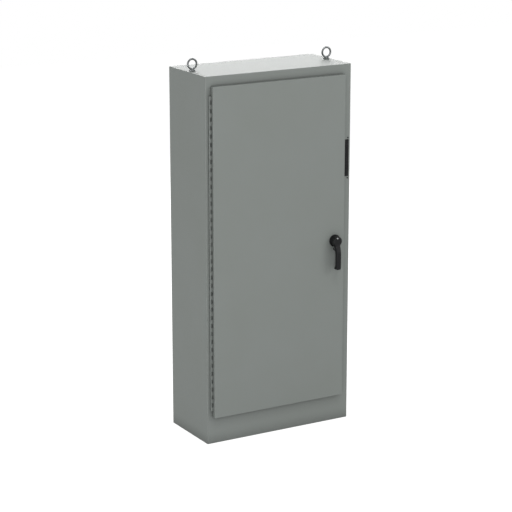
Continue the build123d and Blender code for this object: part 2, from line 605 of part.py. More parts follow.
with BuildPart() as handle:
    with BuildSketch(Plane.YZ.offset(HANDLE_X - GRIP_WIDTH / 2)):
        with BuildLine():
            Polyline(
                (HUB_FACE + 3, NECK_TOP),
                (HUB_FACE, HANDLE_Z - HUB_RADIUS),
                (GRIP_FACE, NECK_BEND_FRONT),
                (GRIP_FACE, GRIP_TIP_Z),
                (FLARE_BACK, GRIP_TIP_Z),
                (FLARE_BACK, GRIP_TIP_Z + 8),
                (GRIP_BACK, GRIP_TIP_Z + TIP_FLARE_HEIGHT),
                (GRIP_BACK, NECK_BEND_BACK),
                (NECK_BACK, HANDLE_Z - HUB_RADIUS + 5),
                (NECK_BACK, NECK_TOP),
                close=True,
            )
        make_face()
    extrude(amount=GRIP_WIDTH)
    tip_edges = handle.edges().group_by(Axis.Z)[0].filter_by(Axis.Y)
    fillet(tip_edges, GRIP_WIDTH / 2 - 1)
    fillet(handle.faces().filter_by(Axis.Y).sort_by(Axis.Y)[0].edges(), GRIP_ROUND)
    with BuildSketch(Plane.XY.offset(HANDLE_Z)) as hub_section:
        with Locations((HANDLE_X + HUB_RADIUS / 2, (HUB_FACE + HUB_BACK) / 2)):
            Rectangle(HUB_RADIUS, HUB_HEIGHT)
        hub_shoulder = hub_section.vertices().sort_by_distance(
            (HANDLE_X + HUB_RADIUS, HUB_FACE, HANDLE_Z))[0]
        fillet(hub_shoulder, HUB_ROUND)
    revolve(axis=Axis((HANDLE_X, 0, HANDLE_Z), (0, 1, 0)))
    add_box((EAR_X, HANDLE_X), (EAR_Y, EAR_Y + EAR_THICKNESS),
            (EAR_Z - EAR_RADIUS, EAR_Z + EAR_RADIUS))
    add_bar("y", (EAR_X, EAR_Y, EAR_Z), EAR_RADIUS, EAR_THICKNESS)
    add_bar("y", (EAR_X, EAR_Y - 1, EAR_Z), PADLOCK_HOLE_RADIUS, EAR_THICKNESS + 2,
            mode=Mode.SUBTRACT)
    add_bar("y", (HANDLE_X, HUB_BACK - SPINDLE_SEAT, HANDLE_Z), SPINDLE_RADIUS,
            SPINDLE_SEAT + 1, mode=Mode.SUBTRACT)
handle.part.label = "handle"
export_step(handle.part, "parts/handle.step")

with BuildPart() as handle_spindle:
    add_bar("y", (HANDLE_X, HUB_BACK - SPINDLE_SEAT, HANDLE_Z), SPINDLE_RADIUS,
            CAM_BACK - HUB_BACK + SPINDLE_SEAT)
handle_spindle.part.label = "handle_spindle"
export_step(handle_spindle.part, "parts/handle_spindle.step")

# The cam's tongue reaches behind the right flange and its two pins drive the rods.
CAM_PIN_REACH = ROD_GAP + ROD_THICKNESS + 2.5
with BuildPart() as latch_cam:
    with BuildSketch(Plane.XZ.offset(-CAM_FRONT)):
        with Locations((HANDLE_X, HANDLE_Z)):
            Circle(CAM_RADIUS)
        with Locations((HANDLE_X + CAM_TONGUE_REACH / 2, HANDLE_Z)):
            RectangleRounded(CAM_TONGUE_REACH, 20, 4)
        with Locations((HANDLE_X, HANDLE_Z)):
            Circle(SPINDLE_RADIUS, mode=Mode.SUBTRACT)
    extrude(amount=-CAM_PLATE)
    for side in (-1, 1):
        pin_x = HANDLE_X + side * CAM_PIN_OFFSET
        pin_z = HANDLE_Z + side * CAM_PIN_OFFSET
        add_bar("y", (pin_x, CAM_BACK, pin_z), CAM_PIN_RADIUS, CAM_PIN_REACH)
latch_cam.part.label = "latch_cam"
export_step(latch_cam.part, "parts/latch_cam.step")

# ---------------------------------------------------------------- latch rods
YOKE_HEIGHT = 22.0
YOKE_WALL = 4.0
SLOT_SIDE_PLAY = 0.3
SLOT_RISE_PLAY = 1.0
ROD_END = 8.0
YOKE_SLOT_HALF_LENGTH = (CAM_THROW - CAM_PIN_OFFSET) / 2 + CAM_PIN_RADIUS + SLOT_SIDE_PLAY
YOKE_HALF_WIDTH = YOKE_SLOT_HALF_LENGTH + YOKE_WALL
ROLLER_GAP_X = 0.6


def latch_rod(name, side, roller_z):
    """A flat rod from its slotted yoke on the cam's pin to the pin of its end roller."""
    rod_x = HANDLE_X + side * ROD_OFFSET
    yoke_z = HANDLE_Z + side * CAM_PIN_OFFSET
    end_z = roller_z + side * ROD_END
    roller_left = rod_x - ROD_WIDTH / 2 - ROLLER_GAP_X - ROLLER_WIDTH
    with BuildPart() as rod:
        add_box((rod_x - ROD_WIDTH / 2, rod_x + ROD_WIDTH / 2), (ROD_FRONT, ROD_BACK),
                sorted((yoke_z, end_z)))
        add_box((rod_x - YOKE_HALF_WIDTH, rod_x + YOKE_HALF_WIDTH), (ROD_FRONT, ROD_BACK),
                (yoke_z - YOKE_HEIGHT / 2, yoke_z + YOKE_HEIGHT / 2))
        slot_half_height = CAM_PIN_RADIUS + SLOT_RISE_PLAY
        add_box((rod_x - YOKE_SLOT_HALF_LENGTH, rod_x + YOKE_SLOT_HALF_LENGTH),
                (ROD_FRONT - 1, ROD_BACK + 1),
                (yoke_z - slot_half_height, yoke_z + slot_half_height), mode=Mode.SUBTRACT)
        add_bar("x", (roller_left - 1.0, ROD_Y, roller_z), ROLLER_PIN_RADIUS,
                rod_x - roller_left + 1.0)
        add_bar("x", (roller_left - 3.0, ROD_Y, roller_z), ROLLER_PIN_RADIUS + 2.5, 2.4)
    rod.part.label = name
    export_step(rod.part, f"parts/{name}.step")


def latch_roller(name, side, roller_z):
    """A plain roller that turns on the pin beside its rod."""
    rod_x = HANDLE_X + side * ROD_OFFSET
    roller_left = rod_x - ROD_WIDTH / 2 - ROLLER_GAP_X - ROLLER_WIDTH
    with BuildPart() as roller:
        add_bar("x", (roller_left, ROD_Y, roller_z), ROLLER_RADIUS, ROLLER_WIDTH)
        add_bar("x", (roller_left - 1, ROD_Y, roller_z), ROLLER_PIN_RADIUS + RUNNING_CLEARANCE,
                ROLLER_WIDTH + 2, mode=Mode.SUBTRACT)
    roller.part.label = name
    export_step(roller.part, f"parts/{name}.step")


UPPER_ROLLER_Z = OPENING_TOP + ROLLER_LAP
LOWER_ROLLER_Z = OPENING_BOTTOM - ROLLER_LAP
latch_rod("upper_latch_rod", 1, UPPER_ROLLER_Z)
latch_rod("lower_latch_rod", -1, LOWER_ROLLER_Z)
latch_roller("upper_roller", 1, UPPER_ROLLER_Z)
latch_roller("lower_roller", -1, LOWER_ROLLER_Z)

# Brackets on the door carry each rod in a window.
GUIDE_SHEET = 4.0
GUIDE_FOOT = 15.0
GUIDE_END_DISTANCE = 110.0
GUIDE_MIDDLE_DISTANCE = 300.0
UPPER_GUIDE_ZS = [OPENING_TOP - GUIDE_END_DISTANCE, HANDLE_Z + GUIDE_MIDDLE_DISTANCE]
LOWER_GUIDE_ZS = [OPENING_BOTTOM + GUIDE_END_DISTANCE, HANDLE_Z - GUIDE_MIDDLE_DISTANCE]

with BuildPart() as rod_guides:
    for side, guide_zs in ((1, UPPER_GUIDE_ZS), (-1, LOWER_GUIDE_ZS)):
        rod_x = HANDLE_X + side * ROD_OFFSET
        guide_x = (rod_x - GUIDE_HALF_WIDTH, rod_x + GUIDE_HALF_WIDTH)
        window = ROD_WIDTH / 2 + ROD_GUIDE_CLEARANCE
        for guide_z in guide_zs:
            add_box(guide_x, (DOOR_INNER, ROD_BACK + ROD_GUIDE_CLEARANCE + 4),
                    (guide_z - GUIDE_SHEET / 2, guide_z + GUIDE_SHEET / 2))
            add_box(guide_x, (DOOR_INNER, DOOR_INNER + 2.5),
                    (guide_z - GUIDE_FOOT, guide_z + GUIDE_FOOT))
            add_box((rod_x - window, rod_x + window),
                    (ROD_FRONT - ROD_GUIDE_CLEARANCE, ROD_BACK + ROD_GUIDE_CLEARANCE),
                    (guide_z - GUIDE_SHEET, guide_z + GUIDE_SHEET), mode=Mode.SUBTRACT)
rod_guides.part.label = "rod_guides"
export_step(rod_guides.part, "parts/rod_guides.step")

# ---------------------------------------------------------------- mounting panel
STUD_XS = [-PANEL_HALF_WIDTH + 40, PANEL_HALF_WIDTH - 40]
STUD_ZS = [PANEL_BOTTOM + 60, (PANEL_BOTTOM + PANEL_TOP) / 2, PANEL_TOP - 60]
STUD_PLACES = [(x, z) for x in STUD_XS for z in STUD_ZS]
PANEL_RETURN = 15.0

with BuildPart() as mounting_panel:
    add_box((-PANEL_HALF_WIDTH, PANEL_HALF_WIDTH), (PANEL_FRONT, PANEL_BACK),
            (PANEL_BOTTOM, PANEL_TOP))
    for side in (-1, 1):
        x_limits = sorted((side * PANEL_HALF_WIDTH, side * (PANEL_HALF_WIDTH - PANEL_SHEET)))
        add_box(x_limits, (PANEL_BACK, PANEL_BACK + PANEL_RETURN), (PANEL_BOTTOM, PANEL_TOP))
    for x, z in STUD_PLACES:
        add_bar("y", (x, PANEL_FRONT - 1, z), STUD_RADIUS + 0.5, PANEL_SHEET + 2,
                mode=Mode.SUBTRACT)
mounting_panel.part.label = "mounting_panel"
export_step(mounting_panel.part, "parts/mounting_panel.step")

# Collar studs on the rear panel, each with a hexagon nut in front of the panel.
STUD_REACH = 16.0
STUD_NUT_HEIGHT = 8.0
with BuildPart() as panel_fixings:
    for x, z in STUD_PLACES:
        add_bar("y", (x, PANEL_FRONT - STUD_REACH, z), STUD_RADIUS,
                INNER_BACK - PANEL_FRONT + STUD_REACH)
        add_bar("y", (x, PANEL_BACK, z), STUD_RADIUS + 5, PANEL_STANDOFF)
    with BuildSketch(Plane.XZ.offset(-PANEL_FRONT)):
        with Locations(*STUD_PLACES):
            RegularPolygon(10.4, 6)
            Circle(STUD_RADIUS + 0.02, mode=Mode.SUBTRACT)
    extrude(amount=STUD_NUT_HEIGHT)
panel_fixings.part.label = "panel_fixings"
export_step(panel_fixings.part, "parts/panel_fixings.step")

# ---------------------------------------------------------------- transfer mechanism
BASE_PLATE_LEFT = -290.0
BASE_PLATE_RIGHT = 345.0
with BuildPart() as switch_base_plate:
    z_limits = (MECHANISM_Z - BASE_PLATE_HALF_HEIGHT, MECHANISM_Z + BASE_PLATE_HALF_HEIGHT)
    add_box((BASE_PLATE_LEFT, BASE_PLATE_RIGHT), (PLATE_FRONT, PLATE_BACK), z_limits)
    add_box((BASE_PLATE_LEFT, BASE_PLATE_LEFT + BASE_PLATE_SHEET), (PLATE_BACK, PANEL_FRONT),
            z_limits)
    add_box((BASE_PLATE_RIGHT - BASE_PLATE_SHEET, BASE_PLATE_RIGHT), (PLATE_BACK, PANEL_FRONT),
            z_limits)
switch_base_plate.part.label = "switch_base_plate"
export_step(switch_base_plate.part, "parts/switch_base_plate.step")

SIDE_FRAME_HALF_HEIGHT = 95.0
BEARING_RADIUS = 20.0
BEARING_LAP = 3.0
SIDE_FRAME_FRONT = SHAFT_Y - 50
side_frame_spans = [
    (-SIDE_FRAME_X - SIDE_FRAME_SHEET, -SIDE_FRAME_X),
    (SIDE_FRAME_X, SIDE_FRAME_X + SIDE_FRAME_SHEET),
]
with BuildPart() as side_frames:
    for x_limits in side_frame_spans:
        add_box(x_limits, (SIDE_FRAME_FRONT, PLATE_FRONT),
                (MECHANISM_Z - SIDE_FRAME_HALF_HEIGHT, MECHANISM_Z + SIDE_FRAME_HALF_HEIGHT))
        add_bar("x", (x_limits[0] - 1, SHAFT_Y, MECHANISM_Z), BEARING_RADIUS,
                SIDE_FRAME_SHEET + 2, mode=Mode.SUBTRACT)
side_frames.part.label = "side_frames"
export_step(side_frames.part, "parts/side_frames.step")

with BuildPart() as shaft_bearings:
    for x_limits in side_frame_spans:
        add_bar("x", (x_limits[0] - BEARING_LAP, SHAFT_Y, MECHANISM_Z), BEARING_RADIUS,
                SIDE_FRAME_SHEET + 2 * BEARING_LAP)
        add_bar("x", (x_limits[0] - BEARING_LAP - 1, SHAFT_Y, MECHANISM_Z),
                SHAFT_RADIUS + RUNNING_CLEARANCE, SIDE_FRAME_SHEET + 2 * BEARING_LAP + 2,
                mode=Mode.SUBTRACT)
shaft_bearings.part.label = "shaft_bearings"
export_step(shaft_bearings.part, "parts/shaft_bearings.step")

# Each pole is a moulded block between two barriers that reach past the contacts.
with BuildPart() as pole_bases:
    z_limits = (MECHANISM_Z - POLE_HALF_HEIGHT, MECHANISM_Z + POLE_HALF_HEIGHT)
    for pole_x in POLE_XS:
        half = POLE_WIDTH / 2
        add_box((pole_x - half, pole_x + half), (POLE_FRONT, PLATE_FRONT), z_limits)
        for side in (-1, 1):
            x_limits = sorted((pole_x + side * half, pole_x + side * (half - BARRIER_WALL)))
            add_box(x_limits, (PLATE_FRONT - BARRIER_DEPTH, POLE_FRONT), z_limits)
            barrier_hole = BARRIER_WALL + 2
            add_bar("x", (x_limits[0] - 1, SHAFT_Y, MECHANISM_Z), SHAFT_RADIUS + 2,
                    barrier_hole, mode=Mode.SUBTRACT)
pole_bases.part.label = "pole_bases"
export_step(pole_bases.part, "parts/pole_bases.step")


def source_bus(name, side):
    """Three copper bars from the fixed contacts of one source out to its lugs."""
    with BuildPart() as bus:
        for pole_x in POLE_XS:
            centre_x = pole_x + ARM_OFFSET_X
            near = MECHANISM_Z + side * (TIP_Z - 16)
            far = MECHANISM_Z + side * BUS_REACH
            add_box((centre_x - BUS_WIDTH / 2, centre_x + BUS_WIDTH / 2),
                    (BUS_FRONT, POLE_FRONT), sorted((near, far)))
            pad_z = MECHANISM_Z + side * TIP_Z
            add_box((centre_x - 12, centre_x + 12), (PAD_FRONT, BUS_FRONT),
                    (pad_z - 12, pad_z + 12))
    bus.part.label = name
    export_step(bus.part, f"parts/{name}.step")


source_bus("normal_bus", -1)
source_bus("emergency_bus", 1)

LOAD_BUS_X = 37.0
LOAD_BUS_TOP = 20.0
with BuildPart() as load_bus:
    for pole_x in POLE_XS:
        centre_x = pole_x + LOAD_BUS_X
        add_box((centre_x - LOAD_BUS_WIDTH / 2, centre_x + LOAD_BUS_WIDTH / 2),
                (BUS_FRONT, POLE_FRONT),
                (MECHANISM_Z - LOAD_BUS_REACH, MECHANISM_Z + LOAD_BUS_TOP))
load_bus.part.label = "load_bus"
export_step(load_bus.part, "parts/load_bus.step")

LUG_PLACES = []
for pole_x in POLE_XS:
    source_x = pole_x + ARM_OFFSET_X
    LUG_PLACES.append((source_x, MECHANISM_Z + BUS_REACH - LUG_HEIGHT))
    LUG_PLACES.append((source_x, MECHANISM_Z - BUS_REACH))
    LUG_PLACES.append((pole_x + LOAD_BUS_X, MECHANISM_Z - LOAD_BUS_REACH))
LUG_WIDTH = 28.0
LUG_SCREW_RADIUS = 6.0

# A set screw pocket in the front of each lug stops short of the cable bore.
with BuildPart() as terminal_lugs:
    for lug_x, lug_z in LUG_PLACES:
        add_box((lug_x - LUG_WIDTH / 2, lug_x + LUG_WIDTH / 2), (BUS_FRONT - LUG_DEPTH, BUS_FRONT),
                (lug_z, lug_z + LUG_HEIGHT))
        add_bar("z", (lug_x, BUS_FRONT - LUG_DEPTH / 2, lug_z - 1), LUG_BORE_RADIUS,
                LUG_HEIGHT + 2, mode=Mode.SUBTRACT)
        add_bar("y", (lug_x, BUS_FRONT - LUG_DEPTH - 1, lug_z + LUG_HEIGHT / 2),
                LUG_SCREW_RADIUS, 5, mode=Mode.SUBTRACT)
terminal_lugs.part.label = "terminal_lugs"
export_step(terminal_lugs.part, "parts/terminal_lugs.step")

# ---------------------------------------------------------------- shaft and contacts
CARRIER_WIDTH = 46.0
CARRIER_HALF = 28.0
SHAFT_LEFT = -SIDE_FRAME_X - SIDE_FRAME_SHEET - 12
CRANK_RIGHT = CRANK_LEFT + CRANK_WIDTH
ARM_HALF_LENGTH = CONTACT_REACH + 8


def tilted(x, along=0.0, ahead=0.0):
    """A place on a contact arm: along it from the shaft, and ahead of its middle plane."""
    y = SHAFT_Y - along * math.sin(TILT) + ahead * math.cos(TILT)
    z = MECHANISM_Z + along * math.cos(TILT) + ahead * math.sin(TILT)
    return Location((x, y, z), (ARM_TILT, 0, 0))


with BuildPart() as contact_shaft:
    add_bar("x", (SHAFT_LEFT, SHAFT_Y, MECHANISM_Z), SHAFT_RADIUS, CRANK_RIGHT - SHAFT_LEFT + 4)
    for pole_x in POLE_XS:
        with Locations(tilted(pole_x + ARM_OFFSET_X)):
            Box(CARRIER_WIDTH, 2 * CARRIER_HALF, 2 * CARRIER_HALF)
            Box(ARM_WIDTH, ARM_THICKNESS, 3 * CARRIER_HALF, mode=Mode.SUBTRACT)
contact_shaft.part.label = "contact_shaft"
export_step(contact_shaft.part, "parts/contact_shaft.step")

with BuildPart() as moving_contacts:
    for pole_x in POLE_XS:
        arm_x = pole_x + ARM_OFFSET_X
        with Locations(tilted(arm_x)):
            Box(ARM_WIDTH, ARM_THICKNESS, 2 * ARM_HALF_LENGTH)
        for end in (-1, 1):
            tip = tilted(arm_x, end * CONTACT_REACH, ARM_THICKNESS / 2).position
            add_bar("x", (arm_x - ARM_WIDTH / 2, tip.Y, tip.Z), ARM_TIP_RADIUS, ARM_WIDTH)
moving_contacts.part.label = "moving_contacts"
export_step(moving_contacts.part, "parts/moving_contacts.step")

with BuildPart() as drive_crank:
    add_bar("x", (CRANK_LEFT, SHAFT_Y, MECHANISM_Z), 22.0, CRANK_WIDTH)
    with Locations(tilted(CRANK_LEFT + CRANK_WIDTH / 2, 0, -CRANK_RADIUS / 2)):
        Box(CRANK_WIDTH, CRANK_RADIUS, 20)
    add_bar("x", (CRANK_LEFT, CRANK_PIN_Y, CRANK_PIN_Z), 10.0, CRANK_WIDTH)
    add_bar("x", (CRANK_LEFT, CRANK_PIN_Y, CRANK_PIN_Z), CRANK_PIN_RADIUS, CRANK_WIDTH + 18)
    add_bar("x", (CRANK_LEFT - 1, SHAFT_Y, MECHANISM_Z), SHAFT_RADIUS, CRANK_WIDTH + 2,
            mode=Mode.SUBTRACT)
drive_crank.part.label = "drive_crank"
export_step(drive_crank.part, "parts/drive_crank.step")

# ---------------------------------------------------------------- solenoid
CLEVIS_WIDTH = 10.0
CLEVIS_HALF_DEPTH = 18.0
CLEVIS_PLAY = 0.4
SOLENOID_BOTTOM = MECHANISM_Z + 110
SOLENOID_TOP = MECHANISM_Z + 230
SOLENOID_WALL = 8.0
SOLENOID_HALF = 38.0
COIL_RADIUS = 29.0
PLUNGER_Y = CRANK_PIN_Y
PLUNGER_REACH = 160.0
PLUNGER_CLEARANCE = 0.1
SOLENOID_ARM = 12.0

with BuildPart() as plunger:
    add_box((PLUNGER_X - CLEVIS_WIDTH / 2, PLUNGER_X + CLEVIS_WIDTH / 2),
            (PLUNGER_Y - CLEVIS_HALF_DEPTH, PLUNGER_Y + CLEVIS_HALF_DEPTH),
            (CRANK_PIN_Z - 14, CRANK_PIN_Z + 24))
    slot_half_depth = CRANK_PIN_RADIUS + CRANK_RADIUS * (1 - math.cos(TILT)) + CLEVIS_PLAY
    add_box((PLUNGER_X - CLEVIS_WIDTH, PLUNGER_X + CLEVIS_WIDTH),
            (PLUNGER_Y - slot_half_depth, PLUNGER_Y + slot_half_depth),
            (CRANK_PIN_Z - CRANK_PIN_RADIUS - CLEVIS_PLAY,
             CRANK_PIN_Z + CRANK_PIN_RADIUS + CLEVIS_PLAY), mode=Mode.SUBTRACT)
    add_bar("z", (PLUNGER_X, PLUNGER_Y, CRANK_PIN_Z + 20), PLUNGER_RADIUS, PLUNGER_REACH - 20)
plunger.part.label = "plunger"
export_step(plunger.part, "parts/plunger.step")

with BuildPart() as solenoid_frame:
    x_limits = (PLUNGER_X - 30, PLUNGER_X + 30)
    y_limits = (PLUNGER_Y - SOLENOID_HALF, PLUNGER_Y + SOLENOID_HALF)
    add_box(x_limits, y_limits, (SOLENOID_BOTTOM, SOLENOID_TOP))
    add_box((x_limits[0] - 1, x_limits[1] + 1),
            (y_limits[0] + SOLENOID_WALL, y_limits[1] - SOLENOID_WALL),
            (SOLENOID_BOTTOM + SOLENOID_WALL, SOLENOID_TOP - SOLENOID_WALL), mode=Mode.SUBTRACT)
    middle = (SOLENOID_BOTTOM + SOLENOID_TOP) / 2
    add_box((x_limits[0] + 8, x_limits[1] - 8), (y_limits[1], PLATE_FRONT),
            (middle - SOLENOID_ARM / 2, middle + SOLENOID_ARM / 2))
    add_bar("z", (PLUNGER_X, PLUNGER_Y, SOLENOID_BOTTOM - 1), PLUNGER_RADIUS + PLUNGER_CLEARANCE,
            SOLENOID_WALL + 2, mode=Mode.SUBTRACT)
solenoid_frame.part.label = "solenoid_frame"
export_step(solenoid_frame.part, "parts/solenoid_frame.step")

with BuildPart() as solenoid_coil:
    coil_height = SOLENOID_TOP - SOLENOID_BOTTOM - 2 * SOLENOID_WALL
    coil_base = (PLUNGER_X, PLUNGER_Y, SOLENOID_BOTTOM + SOLENOID_WALL)
    add_bar("z", coil_base, COIL_RADIUS, coil_height)
    add_bar("z", coil_base, PLUNGER_RADIUS + PLUNGER_CLEARANCE, coil_height, mode=Mode.SUBTRACT)
solenoid_coil.part.label = "solenoid_coil"
export_step(solenoid_coil.part, "parts/solenoid_coil.step")

# Each pair of arc plates stacks beyond the ends of a contact arm.
CHUTE_START = 128.0
CHUTE_LENGTH = 66.0
CHUTE_WIDTH = 90.0
CHUTE_DEPTH = 70.0
CHUTE_SLOTS = 6
with BuildPart() as arc_chutes:
    for pole_x in POLE_XS:
        for side in (-1, 1):
            centre_x = pole_x + ARM_OFFSET_X
            z_limits = sorted((MECHANISM_Z + side * CHUTE_START,
                               MECHANISM_Z + side * (CHUTE_START + CHUTE_LENGTH)))
            chute_back = BUS_FRONT - 2
            chute_left = max(centre_x - CHUTE_WIDTH / 2, pole_x - POLE_WIDTH / 2 + 6)
            add_box((chute_left, chute_left + CHUTE_WIDTH),
                    (chute_back - CHUTE_DEPTH, chute_back), z_limits)
            for index in range(CHUTE_SLOTS):
                slot_z = z_limits[0] + (index + 0.7) * CHUTE_LENGTH / (CHUTE_SLOTS + 0.4)
                add_box((chute_left + 8, chute_left + CHUTE_WIDTH - 8),
                        (chute_back - CHUTE_DEPTH - 1, chute_back - 12),
                        (slot_z, slot_z + 4), mode=Mode.SUBTRACT)
arc_chutes.part.label = "arc_chutes"
export_step(arc_chutes.part, "parts/arc_chutes.step")

# ---------------------------------------------------------------- neutral and ground
NEUTRAL_Z = MECHANISM_Z - 640
NEUTRAL_LEFT = -60.0
NEUTRAL_RIGHT = 300.0
NEUTRAL_BAR_DEPTH = 10.0
NEUTRAL_LIFT = 45.0
NEUTRAL_INSULATOR_XS = [NEUTRAL_LEFT + 40, NEUTRAL_RIGHT - 40]
GROUND_LEFT = -420.0
GROUND_RIGHT = -150.0
GROUND_LIFT = 20.0

with BuildPart() as neutral_bar:
    y_back = PANEL_FRONT - NEUTRAL_LIFT
    add_box((NEUTRAL_LEFT, NEUTRAL_RIGHT), (y_back - NEUTRAL_BAR_DEPTH, y_back),
            (NEUTRAL_Z - 25, NEUTRAL_Z + 25))
    for index in range(5):
        hole_x = NEUTRAL_LEFT + 80 + index * 50
        add_bar("y", (hole_x, y_back - NEUTRAL_BAR_DEPTH - 1, NEUTRAL_Z), 6.5,
                NEUTRAL_BAR_DEPTH + 2, mode=Mode.SUBTRACT)
neutral_bar.part.label = "neutral_bar"
export_step(neutral_bar.part, "parts/neutral_bar.step")

with BuildPart() as ground_bar:
    y_back = PANEL_FRONT - GROUND_LIFT
    add_box((GROUND_LEFT, GROUND_RIGHT), (y_back - 8, y_back), (NEUTRAL_Z - 15, NEUTRAL_Z + 15))
    for index in range(9):
        hole_x = GROUND_LEFT + 35 + index * 25
        add_bar("y", (hole_x, y_back - 9, NEUTRAL_Z), 5, 10, mode=Mode.SUBTRACT)
    for post_x in (GROUND_LEFT + 12, GROUND_RIGHT - 12):
        add_bar("y", (post_x, y_back, NEUTRAL_Z), 8, GROUND_LIFT)
ground_bar.part.label = "ground_bar"
export_step(ground_bar.part, "parts/ground_bar.step")

# Ribbed posts hold the bars away from the panel.
with BuildPart() as bus_insulators:
    posts = []
    for lug_x, lug_z in LUG_PLACES:
        posts.append((lug_x, lug_z + LUG_HEIGHT / 2, POLE_FRONT))
    for post_x in NEUTRAL_INSULATOR_XS:
        posts.append((post_x, NEUTRAL_Z, PANEL_FRONT - NEUTRAL_LIFT))
    for post_x, post_z, post_front in posts:
        add_bar("y", (post_x, post_front, post_z), INSULATOR_RADIUS - 3, PANEL_FRONT - post_front)
        rib_count = int((PANEL_FRONT - post_front) / 15)
        for index in range(rib_count):
            add_bar("y", (post_x, post_front + 4 + index * 15, post_z), INSULATOR_RADIUS, 7)
bus_insulators.part.label = "bus_insulators"
export_step(bus_insulators.part, "parts/bus_insulators.step")

# ---------------------------------------------------------------- controls
BUTTON_X = CONTROLLER_RIGHT - 40
BUTTON_Z = CONTROLLER_BOTTOM + 40
BUTTON_BORE_DEPTH = 14.0
BUTTON_PROUD = 5.0
BUTTON_CLEARANCE = 0.1
DISPLAY_RECESS = 3.0
DISPLAY_SPAN = (CONTROLLER_LEFT + 30, CONTROLLER_LEFT + 150)
DISPLAY_HEIGHTS = (CONTROLLER_TOP - 85, CONTROLLER_TOP - 25)

with BuildPart() as controller_housing:
    add_box((CONTROLLER_LEFT, CONTROLLER_RIGHT), (CONTROLLER_FACE, PANEL_FRONT),
            (CONTROLLER_BOTTOM, CONTROLLER_TOP))
    fillet(controller_housing.edges().filter_by(Axis.Y), 6.0)
    fillet(controller_housing.edges().group_by(Axis.Y)[0], 2.0)
    add_box(DISPLAY_SPAN, (CONTROLLER_FACE - 1, CONTROLLER_FACE + DISPLAY_RECESS),
            DISPLAY_HEIGHTS, mode=Mode.SUBTRACT)
    add_bar("y", (BUTTON_X, CONTROLLER_FACE - 1, BUTTON_Z), BUTTON_RADIUS + BUTTON_CLEARANCE,
            BUTTON_BORE_DEPTH + 1, mode=Mode.SUBTRACT)
controller_housing.part.label = "controller_housing"
export_step(controller_housing.part, "parts/controller_housing.step")

with BuildPart() as controller_display:
    add_box((DISPLAY_SPAN[0] + 0.5, DISPLAY_SPAN[1] - 0.5),
            (CONTROLLER_FACE + 1, CONTROLLER_FACE + DISPLAY_RECESS),
            (DISPLAY_HEIGHTS[0] + 0.5, DISPLAY_HEIGHTS[1] - 0.5))
controller_display.part.label = "controller_display"
export_step(controller_display.part, "parts/controller_display.step")

with BuildPart() as test_button:
    add_bar("y", (BUTTON_X, CONTROLLER_FACE - BUTTON_PROUD, BUTTON_Z), BUTTON_RADIUS,
            BUTTON_PROUD + BUTTON_BORE_DEPTH - BUTTON_TRAVEL - 1)
    fillet(test_button.edges().group_by(Axis.Y)[0], 1.0)
test_button.part.label = "test_button"
export_step(test_button.part, "parts/test_button.step")

TRANSFORMER_LEFT = 190.0
TRANSFORMER_WIDTH = 120.0
TRANSFORMER_BOTTOM = CONTROLLER_BOTTOM + 20
TRANSFORMER_HEIGHT = 100.0
with BuildPart() as control_transformer:
    x_limits = (TRANSFORMER_LEFT, TRANSFORMER_LEFT + TRANSFORMER_WIDTH)
    z_limits = (TRANSFORMER_BOTTOM, TRANSFORMER_BOTTOM + TRANSFORMER_HEIGHT)
    add_box((x_limits[0] - 12, x_limits[1] + 12), (PANEL_FRONT - 3, PANEL_FRONT),
            (z_limits[0] - 12, z_limits[1] + 12))
    add_box(x_limits, (PANEL_FRONT - 58, PANEL_FRONT - 3), z_limits)
    add_box((x_limits[0] + 22, x_limits[1] - 22), (PANEL_FRONT - 84, PANEL_FRONT - 3),
            (z_limits[0] + 22, z_limits[1] - 22))
    fillet(control_transformer.edges().group_by(Axis.Y)[0], 6.0)
control_transformer.part.label = "control_transformer"
export_step(control_transformer.part, "parts/control_transformer.step")

RAIL_LEFT = -110.0
RAIL_RIGHT = 150.0
RAIL_Z = CONTROLLER_BOTTOM + 70
RAIL_DEPTH = 7.5
with BuildPart() as din_rail:
    add_box((RAIL_LEFT, RAIL_RIGHT), (PANEL_FRONT - 1, PANEL_FRONT), (RAIL_Z - 12.5, RAIL_Z + 12.5))
    for side in (-1, 1):
        web = sorted((RAIL_Z + side * 12.5, RAIL_Z + side * 13.5))
        lip = sorted((RAIL_Z + side * 12.5, RAIL_Z + side * 17.5))
        add_box((RAIL_LEFT, RAIL_RIGHT), (PANEL_FRONT - RAIL_DEPTH, PANEL_FRONT), web)
        add_box((RAIL_LEFT, RAIL_RIGHT), (PANEL_FRONT - RAIL_DEPTH, PANEL_FRONT - RAIL_DEPTH + 1),
                lip)
din_rail.part.label = "din_rail"
export_step(din_rail.part, "parts/din_rail.step")

MODULE_BACK = PANEL_FRONT - RAIL_DEPTH
TERMINAL_PITCH = 6.2
TERMINALS = 18
with BuildPart() as terminal_blocks:
    for index in range(TERMINALS):
        left = RAIL_LEFT + 8 + index * TERMINAL_PITCH
        add_box((left, left + TERMINAL_PITCH - 0.3), (MODULE_BACK - 40, MODULE_BACK),
                (RAIL_Z - 24, RAIL_Z + 24))
        add_box((left, left + TERMINAL_PITCH - 0.3), (MODULE_BACK - 52, MODULE_BACK - 40),
                (RAIL_Z - 14, RAIL_Z + 14))
terminal_blocks.part.label = "terminal_blocks"
export_step(terminal_blocks.part, "parts/terminal_blocks.step")

RELAY_PITCH = 30.0
RELAYS = 4
with BuildPart() as control_relays:
    for index in range(RELAYS):
        left = RAIL_LEFT + 8 + TERMINALS * TERMINAL_PITCH + 6 + index * RELAY_PITCH
        add_box((left, left + RELAY_PITCH - 2), (MODULE_BACK - 26, MODULE_BACK),
                (RAIL_Z - 36, RAIL_Z + 36))
        add_box((left + 3, left + RELAY_PITCH - 5), (MODULE_BACK - 64, MODULE_BACK - 26),
                (RAIL_Z - 20, RAIL_Z + 20))
control_relays.part.label = "control_relays"
export_step(control_relays.part, "parts/control_relays.step")

